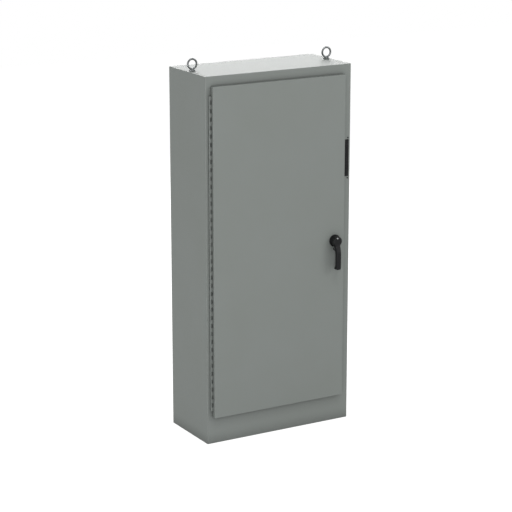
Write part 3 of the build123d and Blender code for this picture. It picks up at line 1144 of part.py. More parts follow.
# Slotted duct with an open front, up the right side of the panel.
DUCT_LEFT = PANEL_HALF_WIDTH - 100
DUCT_WIDTH = 45.0
DUCT_DEPTH = 60.0
DUCT_BOTTOM = MECHANISM_Z - 420
DUCT_TOP = CONTROLLER_TOP
DUCT_WALL = 2.0
DUCT_SLOT_PITCH = 20.0
with BuildPart() as wire_duct:
    add_box((DUCT_LEFT, DUCT_LEFT + DUCT_WIDTH), (PANEL_FRONT - DUCT_DEPTH, PANEL_FRONT),
            (DUCT_BOTTOM, DUCT_TOP))
    add_box((DUCT_LEFT + DUCT_WALL, DUCT_LEFT + DUCT_WIDTH - DUCT_WALL),
            (PANEL_FRONT - DUCT_DEPTH - 1, PANEL_FRONT - DUCT_WALL), (DUCT_BOTTOM - 1, DUCT_TOP + 1),
            mode=Mode.SUBTRACT)
    slot_count = int((DUCT_TOP - DUCT_BOTTOM - DUCT_SLOT_PITCH) / DUCT_SLOT_PITCH)
    with BuildSketch(Plane.YZ.offset(DUCT_LEFT - 1)):
        for index in range(slot_count):
            slot_z = DUCT_BOTTOM + (index + 1) * DUCT_SLOT_PITCH
            with Locations((PANEL_FRONT - DUCT_DEPTH / 2 - 3, slot_z)):
                Rectangle(DUCT_DEPTH - 18, 8)
    extrude(amount=DUCT_WIDTH + 2, mode=Mode.SUBTRACT)
wire_duct.part.label = "wire_duct"
export_step(wire_duct.part, "parts/wire_duct.step")

# Auxiliary switches on the base plate, and the lead that joins them to the controller.
SWITCH_LEFT = BASE_PLATE_LEFT + 3
SWITCH_BOTTOM = MECHANISM_Z + 110
SWITCH_TOP = MECHANISM_Z + 160
SWITCH_DEPTH = 32.0
with BuildPart() as auxiliary_switches:
    for index in range(2):
        left = SWITCH_LEFT + index * 19
        add_box((left, left + 18), (PLATE_FRONT - SWITCH_DEPTH, PLATE_FRONT),
                (SWITCH_BOTTOM, SWITCH_TOP))
auxiliary_switches.part.label = "auxiliary_switches"
export_step(auxiliary_switches.part, "parts/auxiliary_switches.step")

HARNESS_START = (CONTROLLER_LEFT + 150, PANEL_FRONT - 40, CONTROLLER_BOTTOM)
HARNESS_END = (SWITCH_LEFT + 9, PLATE_FRONT - SWITCH_DEPTH / 2, SWITCH_TOP)
HARNESS_BEND = 60.0
with BuildPart() as control_harness:
    with BuildLine():
        FilletPolyline(
            HARNESS_START,
            (HARNESS_START[0], HARNESS_START[1], HARNESS_START[2] - 110),
            (HARNESS_END[0], HARNESS_END[1], HARNESS_END[2] + 110),
            HARNESS_END,
            radius=HARNESS_BEND,
        )
    with BuildSketch(Plane(origin=HARNESS_START, z_dir=(0, 0, -1))):
        Circle(HARNESS_RADIUS)
    sweep()
control_harness.part.label = "control_harness"
export_step(control_harness.part, "parts/control_harness.step")
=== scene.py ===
"""Looks of an automatic transfer switch in a floor-standing sheet steel cabinet.

Metres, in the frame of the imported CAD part: +Z is up and the door faces -Y.
"""
import json
import math

import bmesh
import bpy
import numpy as np
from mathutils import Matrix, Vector


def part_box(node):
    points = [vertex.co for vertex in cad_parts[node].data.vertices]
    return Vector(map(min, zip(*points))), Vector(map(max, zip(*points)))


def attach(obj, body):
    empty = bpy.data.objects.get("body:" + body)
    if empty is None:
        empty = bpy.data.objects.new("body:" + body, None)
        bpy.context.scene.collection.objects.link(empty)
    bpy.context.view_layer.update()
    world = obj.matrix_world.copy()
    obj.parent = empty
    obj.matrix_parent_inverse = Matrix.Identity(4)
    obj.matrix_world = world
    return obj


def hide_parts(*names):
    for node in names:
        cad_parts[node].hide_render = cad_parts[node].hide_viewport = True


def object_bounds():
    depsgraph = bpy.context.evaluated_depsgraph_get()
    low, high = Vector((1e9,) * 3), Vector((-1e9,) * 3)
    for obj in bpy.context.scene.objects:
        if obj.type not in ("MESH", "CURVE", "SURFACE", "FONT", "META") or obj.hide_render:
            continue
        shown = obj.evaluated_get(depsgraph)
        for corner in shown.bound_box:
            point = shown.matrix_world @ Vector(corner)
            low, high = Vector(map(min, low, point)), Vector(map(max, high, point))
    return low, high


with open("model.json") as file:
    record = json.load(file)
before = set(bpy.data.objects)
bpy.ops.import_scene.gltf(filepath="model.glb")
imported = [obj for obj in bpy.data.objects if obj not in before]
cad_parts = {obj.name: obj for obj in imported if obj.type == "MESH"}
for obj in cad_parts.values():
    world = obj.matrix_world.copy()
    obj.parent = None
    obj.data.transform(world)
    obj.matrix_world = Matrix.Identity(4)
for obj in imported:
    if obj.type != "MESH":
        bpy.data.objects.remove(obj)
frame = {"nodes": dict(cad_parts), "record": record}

CAD_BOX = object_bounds()
MM = 0.001
TURN = 2 * math.pi


def mm(values):
    """Millimetres as an array in metres."""
    return np.array(values, float) * MM


# ---------------------------------------------------------------- colours and nodes
def linear(hex_colour):
    """Linear RGBA of an sRGB hex value: c / 12.92 up to 0.04045, else ((c + 0.055) / 1.055) ^ 2.4."""
    c = np.array([int(hex_colour[i:i + 2], 16) for i in (0, 2, 4)]) / 255
    c = np.where(c <= 0.04045, c / 12.92, ((c + 0.055) / 1.055) ** 2.4)
    return (*c.tolist(), 1.0)


def add(tree, kind, inputs=(), **settings):
    """Adds one node with its settings; inputs pairs each socket with a value or a node's output."""
    made = tree.nodes.new("ShaderNode" + kind)
    for key, value in settings.items():
        setattr(made, key, value)
    for socket, value in inputs:
        if isinstance(value, bpy.types.NodeSocket):
            tree.links.new(value, made.inputs[socket])
        else:
            made.inputs[socket].default_value = value
    return made


def per_metre(size_mm):
    """A texture's scale for a pattern whose grain is size_mm across."""
    return 1000 / size_mm


# How far a wave texture of scale one runs before it repeats, in metres.
WAVE_PERIOD = 0.314159
# Linear colours seen between the bands of a laminated or wound part, and of the painted shade deep in an
# inner corner.
GAP_TONE, PAINTED_SHADE_TONE = (0.01, 0.01, 0.01, 1), (0.03, 0.032, 0.031, 1)


def finish_of(name, colour, shade, patch_mm, grain_mm, relief_mm, rough, rough_swing=0.06, metallic=0.0,
              ior=1.5, stretch=(1, 1, 1), bands_mm=0.0, band_axis="Z", band_relief_mm=0.0, coat=0.0,
              painted_shade_mm=0.0):
    """A surface finish: two near colours in soft patches, a fine grain that also shifts the gloss, and
    optional even bands across one axis. Given a painted shade distance, the colour is darkened with
    painted shade towards inner corners, over that distance."""
    material = bpy.data.materials.new(name)
    material.use_nodes = True
    tree = material.node_tree
    tree.nodes.clear()
    place = add(tree, "TexCoord").outputs["Object"]
    patches = add(tree, "TexNoise", [("Vector", place), ("Scale", per_metre(patch_mm)), ("Detail", 3.0),
                                     ("Roughness", 0.55)])
    pulled = add(tree, "Mapping", [("Vector", place), ("Scale", stretch)])
    grain = add(tree, "TexNoise", [("Vector", pulled.outputs[0]), ("Scale", per_metre(grain_mm)),
                                   ("Detail", 2.0), ("Roughness", 0.5)])
    amount = add(tree, "MapRange", [("Value", patches.outputs[0]), ("From Min", 0.3), ("From Max", 0.7)])
    tone = add(tree, "Mix", [("Factor", amount.outputs[0]), (6, linear(colour)), (7, linear(shade))],
               data_type="RGBA")
    colour_out = tone.outputs[2]
    normal = add(tree, "Bump", [("Height", grain.outputs[0]), ("Distance", relief_mm * MM),
                                ("Strength", 1.0)])
    normal_out = normal.outputs[0]
    if bands_mm:
        bands = add(tree, "TexWave", [("Vector", place), ("Scale", per_metre(bands_mm) * WAVE_PERIOD),
                                      ("Distortion", 0.0)],
                    wave_type="BANDS", bands_direction=band_axis, wave_profile="SIN")
        dark = add(tree, "MapRange", [("Value", bands.outputs[0]), ("From Min", 0.0), ("From Max", 0.45),
                                      ("To Min", 0.55), ("To Max", 0.0)])
        banded = add(tree, "Mix", [("Factor", dark.outputs[0]), (6, colour_out), (7, GAP_TONE)],
                     data_type="RGBA")
        colour_out = banded.outputs[2]
        normal_out = add(tree, "Bump", [("Height", bands.outputs[0]), ("Distance", band_relief_mm * MM),
                                        ("Strength", 1.0), ("Normal", normal_out)]).outputs[0]
    # Painted shade: ambient occlusion darkens the colour towards inner corners, standing in for the shade
    # that falls there.
    if painted_shade_mm:
        painted_shade_occlusion = add(tree, "AmbientOcclusion", [("Distance", painted_shade_mm * MM)], samples=8)
        painted_shade_amount = add(tree, "MapRange", [("Value", painted_shade_occlusion.outputs["AO"]), ("From Min", 0.45),
                                       ("From Max", 0.98), ("To Min", 0.40), ("To Max", 0.0)])
        painted_shade_mix = add(tree, "Mix", [("Factor", painted_shade_amount.outputs[0]), (6, colour_out), (7, PAINTED_SHADE_TONE)],
                       data_type="RGBA")
        colour_out = painted_shade_mix.outputs[2]
    gloss = add(tree, "MapRange", [("Value", grain.outputs[0]), ("From Min", 0.3), ("From Max", 0.7),
                                   ("To Min", rough - rough_swing), ("To Max", rough + rough_swing)])
    shader = add(tree, "BsdfPrincipled", [("Base Color", colour_out), ("Roughness", gloss.outputs[0]),
                                          ("Normal", normal_out), ("Metallic", metallic), ("IOR", ior),
                                          ("Coat Weight", coat), ("Coat Roughness", 0.15)])
    add(tree, "OutputMaterial", [("Surface", shader.outputs[0])])
    return material


FINISHES = {
    # Polyester powder coat, sprayed and baked: satin, with a fine orange peel drawn at 5 mm so
    # that it shows, and painted shade darkening it towards its inner corners.
    "enclosure_paint": finish_of("powder_coat_grey", "7C817E", "7A7F7B", 420, 5.0, 0.018, 0.52, 0.05,
                                 painted_shade_mm=80.0),
    # Smooth white powder coat: clean, faintly cool, with a soft sheen.
    "panel_paint": finish_of("powder_coat_white", "D9DAD6", "D2D4D1", 300, 4.0, 0.012, 0.42),
    # Glass-filled nylon, moulded: black with a fine spark-eroded grain, greyer on its high spots.
    "black_moulding": finish_of("moulded_nylon_black", "101112", "151617", 40, 1.2, 0.03, 0.42, 0.06,
                                ior=1.36),
    # Black oxide on steel: near black with a low oily gloss.
    "black_screw": finish_of("black_oxide_steel", "1B1B1C", "262627", 12, 0.8, 0.01, 0.38, 0.08, 0.6),
    # Bright zinc plate on rolled steel: cool silver, patchy passivation with a trace of yellow.
    "zinc_steel": finish_of("zinc_plated_steel", "BFC1C2", "B0B1AC", 22, 1.5, 0.008, 0.26, 0.07, 1.0),
    # Forging under dull zinc plate: greyer and rougher than rolled sheet, so its round section reads.
    "forged_zinc": finish_of("zinc_plated_forging", "8C8F90", "7B7E7E", 14, 1.8, 0.03, 0.34, 0.08, 1.0),
    # Sintered oil-filled bronze: dull, porous, brown-gold.
    "bronze": finish_of("sintered_bronze", "9A7440", "7D5C33", 8, 0.9, 0.03, 0.5, 0.08, 1.0),
    # Compression moulded polyester glass: brick red with pale fibre flecks under a waxy surface.
    "insulator": finish_of("polyester_glass_red", "6E2A1D", "5D2218", 14, 1.6, 0.04, 0.48, 0.07),
    # Rolled copper bar: warm pink-orange, drawn lengthways, browning in patches.
    "copper": finish_of("rolled_copper", "C98A66", "B47658", 55, 1.4, 0.012, 0.3, 0.08, 1.0,
                        stretch=(1, 1, 0.06)),
    # Tin plated aluminium: pale, matt and slightly grey.
    "lug_aluminium": finish_of("tin_plated_aluminium", "C6C8CA", "B4B6B8", 16, 1.1, 0.015, 0.36, 0.07, 1.0),
    # Coil wound in yellow polyester tape, each turn's edge showing as a fine step.
    "coil_tape": finish_of("polyester_tape_yellow", "B98E2B", "A67C22", 18, 1.5, 0.02, 0.34, 0.05,
                           bands_mm=9.0, band_axis="Z", band_relief_mm=0.3),
    # Polycarbonate, moulded in light grey with a fine matt grain.
    "grey_moulding": finish_of("polycarbonate_grey", "9AA0A3", "92989C", 50, 1.2, 0.03, 0.46, 0.06),
    # Tinted window over a display: very dark green and glossy.
    "display_glass": finish_of("tinted_display_window", "12201A", "0F1A16", 30, 6.0, 0.002, 0.08, 0.02,
                               coat=0.6),
    # Indicator lamp lens: red polycarbonate, unlit, glossy.
    "lamp_lens": finish_of("indicator_lens", "B23A22", "8F2C1A", 6, 1.0, 0.002, 0.12, 0.02, coat=0.5),
    # Stack of silicon steel laminations under varnish: dark with fine lines across the stack.
    "transformer_steel": finish_of("varnished_laminations", "3A3836", "2E2D2B", 20, 1.2, 0.02, 0.4, 0.06,
                                   0.4, bands_mm=3.0, band_axis="Y", band_relief_mm=0.15),
    # Smoked clear relay cover: pale, glossy, with the works showing as a warm tint.
    "relay_cover": finish_of("smoked_relay_cover", "8F8C80", "7C7868", 12, 3.0, 0.004, 0.14, 0.03,
                             coat=0.4),
    # Closed-cell neoprene foam: matt black with visible cells.
    "gasket_rubber": finish_of("neoprene_foam", "161616", "1F1F1E", 10, 1.2, 0.15, 0.78, 0.06),
    # Leads in a braided nylon sleeve: black with a fine crossing weave.
    "wire_pvc": finish_of("braided_sleeve_black", "141415", "202022", 6, 1.6, 0.25, 0.55, 0.08),
}
SLOT_OF = {row["node"]: row["material_slot"] for row in frame["record"]["subparts"]}
SMOOTH_ANGLE = math.radians(32)
WELD_MM = 0.002
for node_name, cad_node in frame["nodes"].items():
    slot_name = SLOT_OF[node_name]
    cad_node.data.materials.clear()
    cad_node.data.materials.append(FINISHES[slot_name])
    cad_node.data.polygons.foreach_set("use_smooth", np.ones(len(cad_node.data.polygons), bool))
    weld = cad_node.modifiers.new("weld", "WELD")
    weld.merge_threshold = WELD_MM * MM
    crease = cad_node.modifiers.new("crease", "EDGE_SPLIT")
    crease.split_angle = SMOOTH_ANGLE


# ---------------------------------------------------------------- surfaces
def grid_faces(rows, columns, wrap=True):
    """Quads of a grid of points: each joins a point, its neighbour along the row, and the pair in the
    next row. With wrap the last column joins the first."""
    r, c = np.meshgrid(np.arange(rows - 1), np.arange(columns if wrap else columns - 1), indexing="ij")
    a, b = r * columns + c, r * columns + (c + 1) % columns
    return np.stack([a, b, b + columns, a + columns], -1).reshape(-1, 4).tolist()


def shell(grid, wrap=True):
    """Points and faces of a closed shell: a grid of rows of points, with the first and last rows capped."""
    rows, columns = grid.shape[:2]
    faces = grid_faces(rows, columns, wrap)
    faces.append(list(range(columns))[::-1])
    faces.append(list(range((rows - 1) * columns, rows * columns)))
    return grid.reshape(-1, 3), faces


def lathe(profile, centre, axis="y", sides=48):
    """A turned shape: each profile pair is a radius and a distance along the axis, swept round it."""
    radius, along = np.array(profile, float).T
    angle = np.linspace(0, TURN, sides, endpoint=False)
    a, b = radius[:, None] * np.cos(angle), radius[:, None] * np.sin(angle)
    c = np.broadcast_to(along[:, None], a.shape)
    order = {"x": (c, a, b), "y": (a, c, b), "z": (a, b, c)}[axis]
    return shell(np.stack(order, -1) + np.array(centre))


def loft(z, half_width, front, back, centre_x, power=4.0, sides=40):
    """A bar whose cross-section at each height z is a superellipse: half_width wide each way and from
    front to back, x and y being the cosine and sine raised to 2 / power with their signs kept."""
    angle = np.linspace(0, TURN, sides, endpoint=False)
    ca, sa = np.cos(angle), np.sin(angle)
    px = np.sign(ca) * np.abs(ca) ** (2 / power)
    py = np.sign(sa) * np.abs(sa) ** (2 / power)
    z, half_width, front, back = (np.array(v, float)[:, None] for v in (z, half_width, front, back))
    x = centre_x + half_width * px
    y = (front + back) / 2 + (back - front) / 2 * py
    return shell(np.stack([x, y, np.broadcast_to(z, x.shape)], -1))


def ring(centre, radius, section, sides=64, section_sides=20, normal="y"):
    """A torus: a circle of radius section carried round a circle of the given radius."""
    u = np.linspace(0, TURN, sides, endpoint=False)[:, None]
    v = np.linspace(0, TURN, section_sides, endpoint=False)[None, :]
    out = radius + section * np.cos(v)
    a, b, c = out * np.cos(u), out * np.sin(u), section * np.sin(v) * np.ones_like(u)
    order = {"x": (c, a, b), "y": (a, c, b), "z": (a, b, c)}[normal]
    points = (np.stack(order, -1) + np.array(centre)).reshape(-1, 3)
    r, q = np.meshgrid(np.arange(sides), np.arange(section_sides), indexing="ij")
    r2, q2 = (r + 1) % sides, (q + 1) % section_sides
    faces = np.stack([r * section_sides + q, r * section_sides + q2, r2 * section_sides + q2,
                      r2 * section_sides + q], -1).reshape(-1, 4).tolist()
    return points, faces


def block(low, high):
    """A box between two corners."""
    (x0, y0, z0), (x1, y1, z1) = low, high
    grid = np.array([[(x0, y0, z0), (x1, y0, z0), (x1, y1, z0), (x0, y1, z0)],
                     [(x0, y0, z1), (x1, y0, z1), (x1, y1, z1), (x0, y1, z1)]], float)
    return shell(grid)


def piece(name, shells, slot_name, body, replaces=(), material=None, bevel_mm=0.0, smooth=True):
    """Makes one object from several shells, in metres, and rides it on its body."""
    points, faces, start = [], [], 0
    for shell_points, shell_faces in shells:
        points.append(shell_points)
        faces += [[i + start for i in face] for face in shell_faces]
        start += len(shell_points)
    mesh = bpy.data.meshes.new(name)
    mesh.from_pydata(np.concatenate(points).tolist(), [], faces)
    work = bmesh.new()
    work.from_mesh(mesh)
    bmesh.ops.recalc_face_normals(work, faces=work.faces)
    work.to_mesh(mesh)
    work.free()
    made = bpy.data.objects.new(name, mesh)
    bpy.context.scene.collection.objects.link(made)
    mesh.materials.append(material or FINISHES[slot_name])
    if bevel_mm:
        bevel = made.modifiers.new("bevel", "BEVEL")
        bevel.width = bevel_mm * MM
        bevel.segments = 2
        bevel.limit_method = "ANGLE"
    if smooth:
        mesh.polygons.foreach_set("use_smooth", np.ones(len(mesh.polygons), bool))
        split = made.modifiers.new("split", "EDGE_SPLIT")
        split.split_angle = SMOOTH_ANGLE
    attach(made, body)
    if replaces:
        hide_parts(*replaces)
    return made


def fuse(made, voxel_mm, passes, factor=0.5):
    """Fuses a piece's overlapping shells into one skin and eases its inner corners."""
    for modifier in list(made.modifiers):
        made.modifiers.remove(modifier)
    remesh = made.modifiers.new("fuse", "REMESH")
    remesh.mode = "VOXEL"
    remesh.voxel_size = voxel_mm * MM
    remesh.use_smooth_shade = True
    ease = made.modifiers.new("ease", "SMOOTH")
    ease.iterations = passes
    ease.factor = factor
    return made


# ---------------------------------------------------------------- latch handle
escutcheon_low, escutcheon_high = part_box("handle_escutcheon")
HANDLE_X = (escutcheon_low.x + escutcheon_high.x) / 2
HANDLE_Z = (escutcheon_low.z + escutcheon_high.z) / 2
DOOR_FACE = escutcheon_high.y
HUB_CENTRE = (HANDLE_X, DOOR_FACE, HANDLE_Z)

# Height over the hub's centre, half width, and how far the front and back stand off the door.
GRIP_STATIONS = mm([
    (10, 14.0, -35, -14), (-12, 15.0, -43, -15), (-26, 15.6, -45.6, -17), (-36, 15.75, -48, -21),
    (-48, 15.75, -51, -26.5), (-60, 15.75, -54.4, -31.5), (-68.5, 15.75, -56.4, -34.5),
    (-69.5, 15.75, -56.5, -34.9), (-86, 15.75, -56.5, -36.5), (-120, 15.75, -56.5, -36.5),
    (-148, 15.75, -56.5, -36.5), (-156, 15.75, -56.5, -34.5), (-163, 15.75, -56.5, -29.5),
    (-169, 15.6, -56.3, -24.5), (-173.5, 14.9, -55.6, -22), (-177, 13.0, -54, -22),
    (-179.4, 9.0, -51, -25.0), (-180, 4.5, -46, -30),
])
# The bar that carries the padlock ear, in the same measures.
EAR_ROOT_STATIONS = mm([(-56, 3.5, -42, -36), (-49, 4.0, -42, -36), (-30, 5.5, -42, -36),
                        (-22, 5.5, -42, -36)])
HUB_PROFILE = mm([(0.5, -45.2), (12, -44.9), (22, -44.2), (26.5, -43.0), (29.8, -40.4), (31.5, -36.5),
                  (31.5, -6.5), (0.5, -6.5)])
EAR_CENTRE = np.array([HANDLE_X - 21 * MM, DOOR_FACE - 39 * MM, HANDLE_Z - 42 * MM])
EAR_LOOP_RADIUS, EAR_BAR_RADIUS, EAR_ROOT_ASIDE = mm([8.2, 3.6, 12])
# Powers of the rounded rectangles: a high one is nearly square, a low one nearly round.
GRIP_POWER, EAR_ROOT_POWER = 10, 4


def hanging(stations, x, power, sides):
    """A loft in front of the door through rows of height, half width, front and back."""
    height, half, front, back = stations.T
    return loft(HANDLE_Z + height, half, DOOR_FACE + front, DOOR_FACE + back, x, power, sides)


hub = lathe(HUB_PROFILE, HUB_CENTRE, "y", 64)
grip = hanging(GRIP_STATIONS, HANDLE_X, GRIP_POWER, 64)
ear = ring(EAR_CENTRE, EAR_LOOP_RADIUS, EAR_BAR_RADIUS, 40, 14, "y")
ear_root = hanging(EAR_ROOT_STATIONS, HANDLE_X - EAR_ROOT_ASIDE, EAR_ROOT_POWER, 24)
handle_piece = piece("latch_handle", [hub, grip, ear, ear_root], "black_moulding", "handle", ["handle"])
fuse(handle_piece, 0.8, 3)

# Polished drive pin in the hub's front, above the spindle.
PIN_PROFILE = mm([(0.2, -1.9), (2.2, -1.7), (3.6, -1.1), (4.4, 0.0), (4.4, 4.0), (0.2, 4.0)])
PIN_CENTRE = (HANDLE_X - 3.5 * MM, DOOR_FACE - 44.6 * MM, HANDLE_Z + 20.5 * MM)
piece("hub_pin", [lathe(PIN_PROFILE, PIN_CENTRE, "y", 32)], "zinc_steel", "handle")

# ---------------------------------------------------------------- lifting eyes
EYE_LOOP_RADIUS, EYE_BAR_RADIUS, EYE_LOOP_HEIGHT = 29.5 * MM, 6.0 * MM, 43 * MM
# Shank, collar and the flare that runs up into the loop: radius and height over the cabinet's top.
EYE_FOOT_PROFILE = mm([(0.5, -30), (8, -30), (8, 0), (18.5, 0), (18.5, 7), (17, 9), (14, 10.2),
                       (11.5, 12), (9.2, 15), (7.5, 18), (0.5, 18)])
for side in ("left", "right"):
    eye_low, eye_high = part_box(f"lifting_eye_{side}")
    eye_x = (eye_low.x + eye_high.x) / 2
    eye_y = (eye_low.y + eye_high.y) / 2
    top = CAD_BOX[1].z - EYE_LOOP_HEIGHT - EYE_LOOP_RADIUS - EYE_BAR_RADIUS
    loop = ring((eye_x, eye_y, top + EYE_LOOP_HEIGHT), EYE_LOOP_RADIUS, EYE_BAR_RADIUS, 72, 24, "y")
    foot = lathe(EYE_FOOT_PROFILE, (eye_x, eye_y, top), "z", 48)
    eye = piece(f"forged_eye_{side}", [loop, foot], "zinc_steel", "enclosure", [f"lifting_eye_{side}"],
                FINISHES["forged_zinc"])
    fuse(eye, 0.9, 4)


# ---------------------------------------------------------------- fastenings
# Profiles for a radius of one: distance from the axis, and how far along +Y.
SCREW_HEAD = [(0.45, -1.0), (0.72, -0.94), (0.92, -0.6), (1.0, -0.1)]
HEXAGON_HEAD = np.array([(0.05, -0.85), (0.8, -0.85), (1.0, -0.74), (1.0, -0.18), (0.05, -0.18)])
WASHER = np.array([(0.05, -0.19), (1.3, -0.19), (1.35, -0.12), (1.35, 0.02), (0.05, 0.02)])


def screw(x, y, z, radius, stand=0.7, sides=24):
    """A round head facing -Y with a socket in its middle: a turned profile scaled by its radius, the
    head standing proud by the share stand."""
    head = [(out, along * stand) for out, along in SCREW_HEAD]
    profile = np.array([(0.05, -0.25), (0.42, -0.25), *head, (1.0, 0.15), (0.05, 0.15)])
    return lathe(profile * radius, (x, y, z), "y", sides)


def hex_bolt(x, y, z, radius):
    """A hexagon head on a washer, facing -Y: a six-sided chamfered profile over a round one."""
    return [lathe(HEXAGON_HEAD * radius, (x, y, z), "y", 6), lathe(WASHER * radius, (x, y, z), "y", 32)]


def corners(low, high, inset):
    """The four corners of a node's front, moved in by inset, as pairs of x and z."""
    return [(x, z) for x in (low.x + inset, high.x - inset) for z in (low.z + inset, high.z - inset)]


plate_low, plate_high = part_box("switch_base_plate")
plate_bolts = [shape for x, z in corners(plate_low, plate_high, 14 * MM)
               for shape in hex_bolt(x, plate_low.y, z, 7.5 * MM)]
piece("base_plate_bolts", plate_bolts, "zinc_steel", "enclosure", smooth=False)

# Hexagon screws at the ends of the ground bar, over its posts.
BAR_POST_INSET = 12 * MM
bar_low, bar_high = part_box("ground_bar")
bar_bolts = [shape for x in (bar_low.x + BAR_POST_INSET, bar_high.x - BAR_POST_INSET)
             for shape in hex_bolt(x, bar_low.y, (bar_low.z + bar_high.z) / 2, 6.5 * MM)]
piece("ground_bar_bolts", bar_bolts, "zinc_steel", "enclosure", smooth=False)

# Clamp screws in two rows on the terminal blocks.
TERMINAL_PITCH, TERMINAL_STEP, CLAMP_INSET = 6.2 * MM, 12 * MM, 5 * MM
rail_low, rail_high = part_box("terminal_blocks")
terminal_x = np.arange(rail_low.x + TERMINAL_PITCH / 2, rail_high.x, TERMINAL_PITCH)
clamp_screws = [screw(x, rail_low.y + TERMINAL_STEP, z, 2.0 * MM, sides=16) for x in terminal_x
                for z in (rail_low.z + CLAMP_INSET, rail_high.z - CLAMP_INSET)]
piece("terminal_screws", clamp_screws, "zinc_steel", "enclosure")

# ---------------------------------------------------------------- poles
POLE_X = mm([-170, 0, 170])
SOURCE_X, LOAD_X = POLE_X - 18 * MM, POLE_X + 37 * MM

# One set screw in the front of each lug: two rows of source lugs and one row of load lugs.
LUG_HALF_HEIGHT, LUG_ROW_GAP, SET_SCREW_RADIUS, SET_SCREW_DEPTH = mm([23, 120, 5.8, 1.2])
lugs_low, lugs_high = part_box("terminal_lugs")
load_lug_z = lugs_low.z + LUG_HALF_HEIGHT
LUG_ROWS = ((SOURCE_X, lugs_high.z - LUG_HALF_HEIGHT), (SOURCE_X, load_lug_z + LUG_ROW_GAP),
            (LOAD_X, load_lug_z))
lug_screws = [screw(x, lugs_low.y + SET_SCREW_DEPTH, z, SET_SCREW_RADIUS, 0.15)
              for columns, z in LUG_ROWS for x in columns]
piece("lug_set_screws", lug_screws, "zinc_steel", "enclosure")

# Splitter plates: thin steel sheets, one in each slot of the arc chutes. The slots keep the chutes' own
# even pitch: SLOT_START pitches up to the first, and SLOT_SPARE pitches more than the slots need.
CHUTE_SLOTS, SLOT_START, SLOT_SPARE = 6, 0.7, 0.4
CHUTE_LENGTH, CHUTE_WIDTH, PLATE_LIFT, PLATE_SHEET = mm([66, 90, 1.1, 1.8])
PLATE_SIDE, PLATE_FRONT, PLATE_BACK = mm([8.3, 3.5, 12.2])
SLOT_PITCH = CHUTE_LENGTH / (CHUTE_SLOTS + SLOT_SPARE)
chute_low, chute_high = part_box("arc_chutes")
splitters = []
for chute_left in chute_low.x + POLE_X - POLE_X[0]:
    for bottom in (chute_low.z, chute_high.z - CHUTE_LENGTH):
        for index in range(CHUTE_SLOTS):
            level = bottom + (index + SLOT_START) * SLOT_PITCH + PLATE_LIFT
            near = (chute_left + PLATE_SIDE, chute_low.y + PLATE_FRONT, level)
            far = (chute_left + CHUTE_WIDTH - PLATE_SIDE, chute_high.y - PLATE_BACK, level + PLATE_SHEET)
            splitters.append(block(near, far))
piece("splitter_plates", splitters, "zinc_steel", "enclosure", smooth=False)

# ---------------------------------------------------------------- controller front
def frame_round(low, high, face, width, rise, radius, steps=8):
    """A raised border round an opening: a rounded rectangle offset outwards in four steps, flat on the
    face, up, across and down again; corner points lie on quarter circles of growing radius."""
    quarter = np.linspace(0, TURN / 4, steps)
    centres = [(high.x - radius, high.z - radius), (low.x + radius, high.z - radius),
               (low.x + radius, low.z + radius), (high.x - radius, low.z + radius)]
    section = ((0.0, 0.0), (0.0, rise), (0.3 * width, rise * 1.15), (0.8 * width, rise), (width, 0.0))
    loops = []
    for out, lift in section:
        r = radius + out
        loops.append(np.concatenate([
            np.stack([cx + r * np.cos(quarter + q * TURN / 4), np.full(steps, face - lift),
                      cz + r * np.sin(quarter + q * TURN / 4)], -1) for q, (cx, cz) in enumerate(centres)]))
    loops.append(loops[0])
    grid = np.array(loops)
    return grid.reshape(-1, 3), grid_faces(grid.shape[0], grid.shape[1])


BEZEL_SUNK, BEZEL_WIDTH, BEZEL_RISE, BEZEL_CORNER = mm([0.2, 6, 2.2, 3])
case_low, case_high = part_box("controller_housing")
window_low, window_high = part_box("controller_display")
case_face = case_low.y
bezel = frame_round(window_low, window_high, case_face + BEZEL_SUNK, BEZEL_WIDTH, BEZEL_RISE, BEZEL_CORNER)
piece("display_bezel", [bezel], "black_moulding", "enclosure")

KEY_DROP, KEY_HALF_WIDTH, KEY_HALF_HEIGHT, KEY_RISE, KEY_SUNK = mm([36, 9, 6, 2.0, 0.5])
key_z = window_low.z - KEY_DROP
keys = [block((x - KEY_HALF_WIDTH, case_face - KEY_RISE, key_z - KEY_HALF_HEIGHT),
              (x + KEY_HALF_WIDTH, case_face + KEY_SUNK, key_z + KEY_HALF_HEIGHT))
        for x in window_low.x + mm([12, 44, 76, 108])]
piece("controller_keys", keys, "black_moulding", "enclosure", bevel_mm=1.2)

LAMP_PROFILE = mm([(0.2, -1.9), (1.5, -1.6), (2.5, -0.8), (2.9, 0.0), (2.9, 0.6), (0.2, 0.6)])
LAMP_COUNT, LAMP_ASIDE, LAMP_INSET = 5, 24 * MM, 4 * MM
lamp_heights = np.linspace(window_low.z + LAMP_INSET, window_high.z - LAMP_INSET, LAMP_COUNT)
lamps = [lathe(LAMP_PROFILE, (window_high.x + LAMP_ASIDE, case_face, z), "y", 24) for z in lamp_heights]
piece("controller_lamps", lamps, "display_glass", "enclosure", material=FINISHES["lamp_lens"])

case_screws = [screw(x, case_face, z, 3.4 * MM) for x, z in corners(case_low, case_high, 11 * MM)]
piece("controller_screws", case_screws, "zinc_steel", "enclosure")

# ---------------------------------------------------------------- studio
floor_points, floor_faces = block((-14, -14, -0.02), (14, 14, 0.0))
floor_mesh = bpy.data.meshes.new("floor")
floor_mesh.from_pydata(floor_points.tolist(), [], floor_faces)
floor = bpy.data.objects.new("floor", floor_mesh)
bpy.context.scene.collection.objects.link(floor)
floor_material = bpy.data.materials.new("pale_floor")
floor_material.use_nodes = True
floor_tree = floor_material.node_tree
floor_tree.nodes.clear()
FLOOR_GLOW_LIT, FLOOR_GLOW_SEEN, ROOM_LIGHT = 0.25, 0.86, 0.50


def seen_level(tree, lit, seen_by_eye):
    """A brightness that is one value where it lights the object and another where it is looked at."""
    ray = add(tree, "LightPath").outputs["Is Camera Ray"]
    return add(tree, "MapRange", [("Value", ray), ("To Min", lit), ("To Max", seen_by_eye)]).outputs[0]


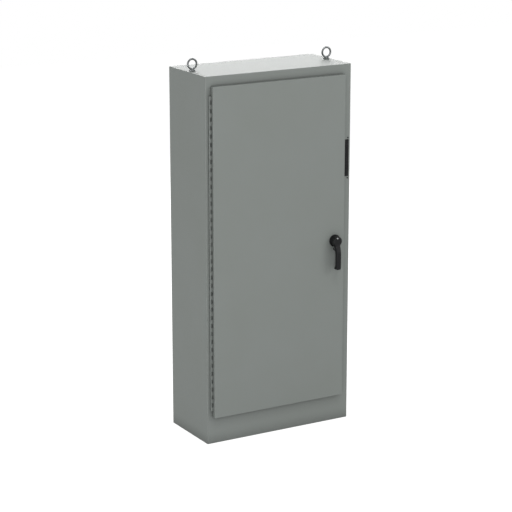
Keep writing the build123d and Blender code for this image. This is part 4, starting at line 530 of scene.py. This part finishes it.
floor_glow = add(floor_tree, "Emission", [
    ("Color", (1, 1, 1, 1)), ("Strength", seen_level(floor_tree, FLOOR_GLOW_LIT, FLOOR_GLOW_SEEN))])
floor_paint = add(floor_tree, "BsdfDiffuse", [("Color", (0.3, 0.3, 0.3, 1))])
floor_sum = add(floor_tree, "AddShader", [(0, floor_glow.outputs[0]), (1, floor_paint.outputs[0])])
add(floor_tree, "OutputMaterial", [("Surface", floor_sum.outputs[0])])
floor_mesh.materials.append(floor_material)

# White to the eye, but it lights the object only as a softly lit room does.
world = bpy.data.worlds.new("studio")
bpy.context.scene.world = world
world.use_nodes = True
world_tree = world.node_tree
world_tree.nodes.clear()
background = add(world_tree, "Background", [("Color", (1, 1, 1, 1)),
                                            ("Strength", seen_level(world_tree, ROOM_LIGHT, 1.0))])
add(world_tree, "OutputWorld", [("Surface", background.outputs[0])])


def lamp(name, kind, place, target, power, **settings):
    """A soft light at a place, facing its target."""
    data = bpy.data.lights.new(name, kind)
    data.energy = power
    for key, value in settings.items():
        setattr(data, key, value)
    made = bpy.data.objects.new(name, data)
    bpy.context.scene.collection.objects.link(made)
    made.location = place
    made.rotation_euler = (Vector(target) - Vector(place)).to_track_quat("-Z", "Y").to_euler()
    made.visible_camera = False
    return made


lamp("backdrop", "AREA", (1.5, 6.5, 4.6), (0, 0, 2.3), 480, shape="RECTANGLE", size=9.0, size_y=4.0)
lamp("overhead", "AREA", (-0.3, -3.4, 7.4), (0, -0.2, 1.8), 120, size=2.6)
lamp("key_right", "AREA", (6.2, -5.2, 4.4), (0, 0, 1.2), 150, size=3.0)
lamp("key_left", "AREA", (-5.0, -6.5, 3.4), (0, 0, 1.2), 55, size=2.2)
lamp("fill_left", "AREA", (-7.5, 0.6, 2.4), (0, 0, 1.2), 134, size=3.0)
lamp("low_front", "AREA", (-1.5, -5.0, 0.7), (0, 0, 0.25), 60, size=1.2)

camera_data = bpy.data.cameras.new("camera")
camera_data.lens = 131.9
camera_data.sensor_width = 36.0
camera = bpy.data.objects.new("camera", camera_data)
bpy.context.scene.collection.objects.link(camera)
camera.location = (-5.7035, -9.8025, 4.0785)
LOOK_AT = Vector((-0.032, 0, 1.086))
camera.rotation_euler = (LOOK_AT - camera.location).to_track_quat("-Z", "Y").to_euler()
bpy.context.scene.camera = camera
bpy.context.scene.view_settings.view_transform = "Standard"
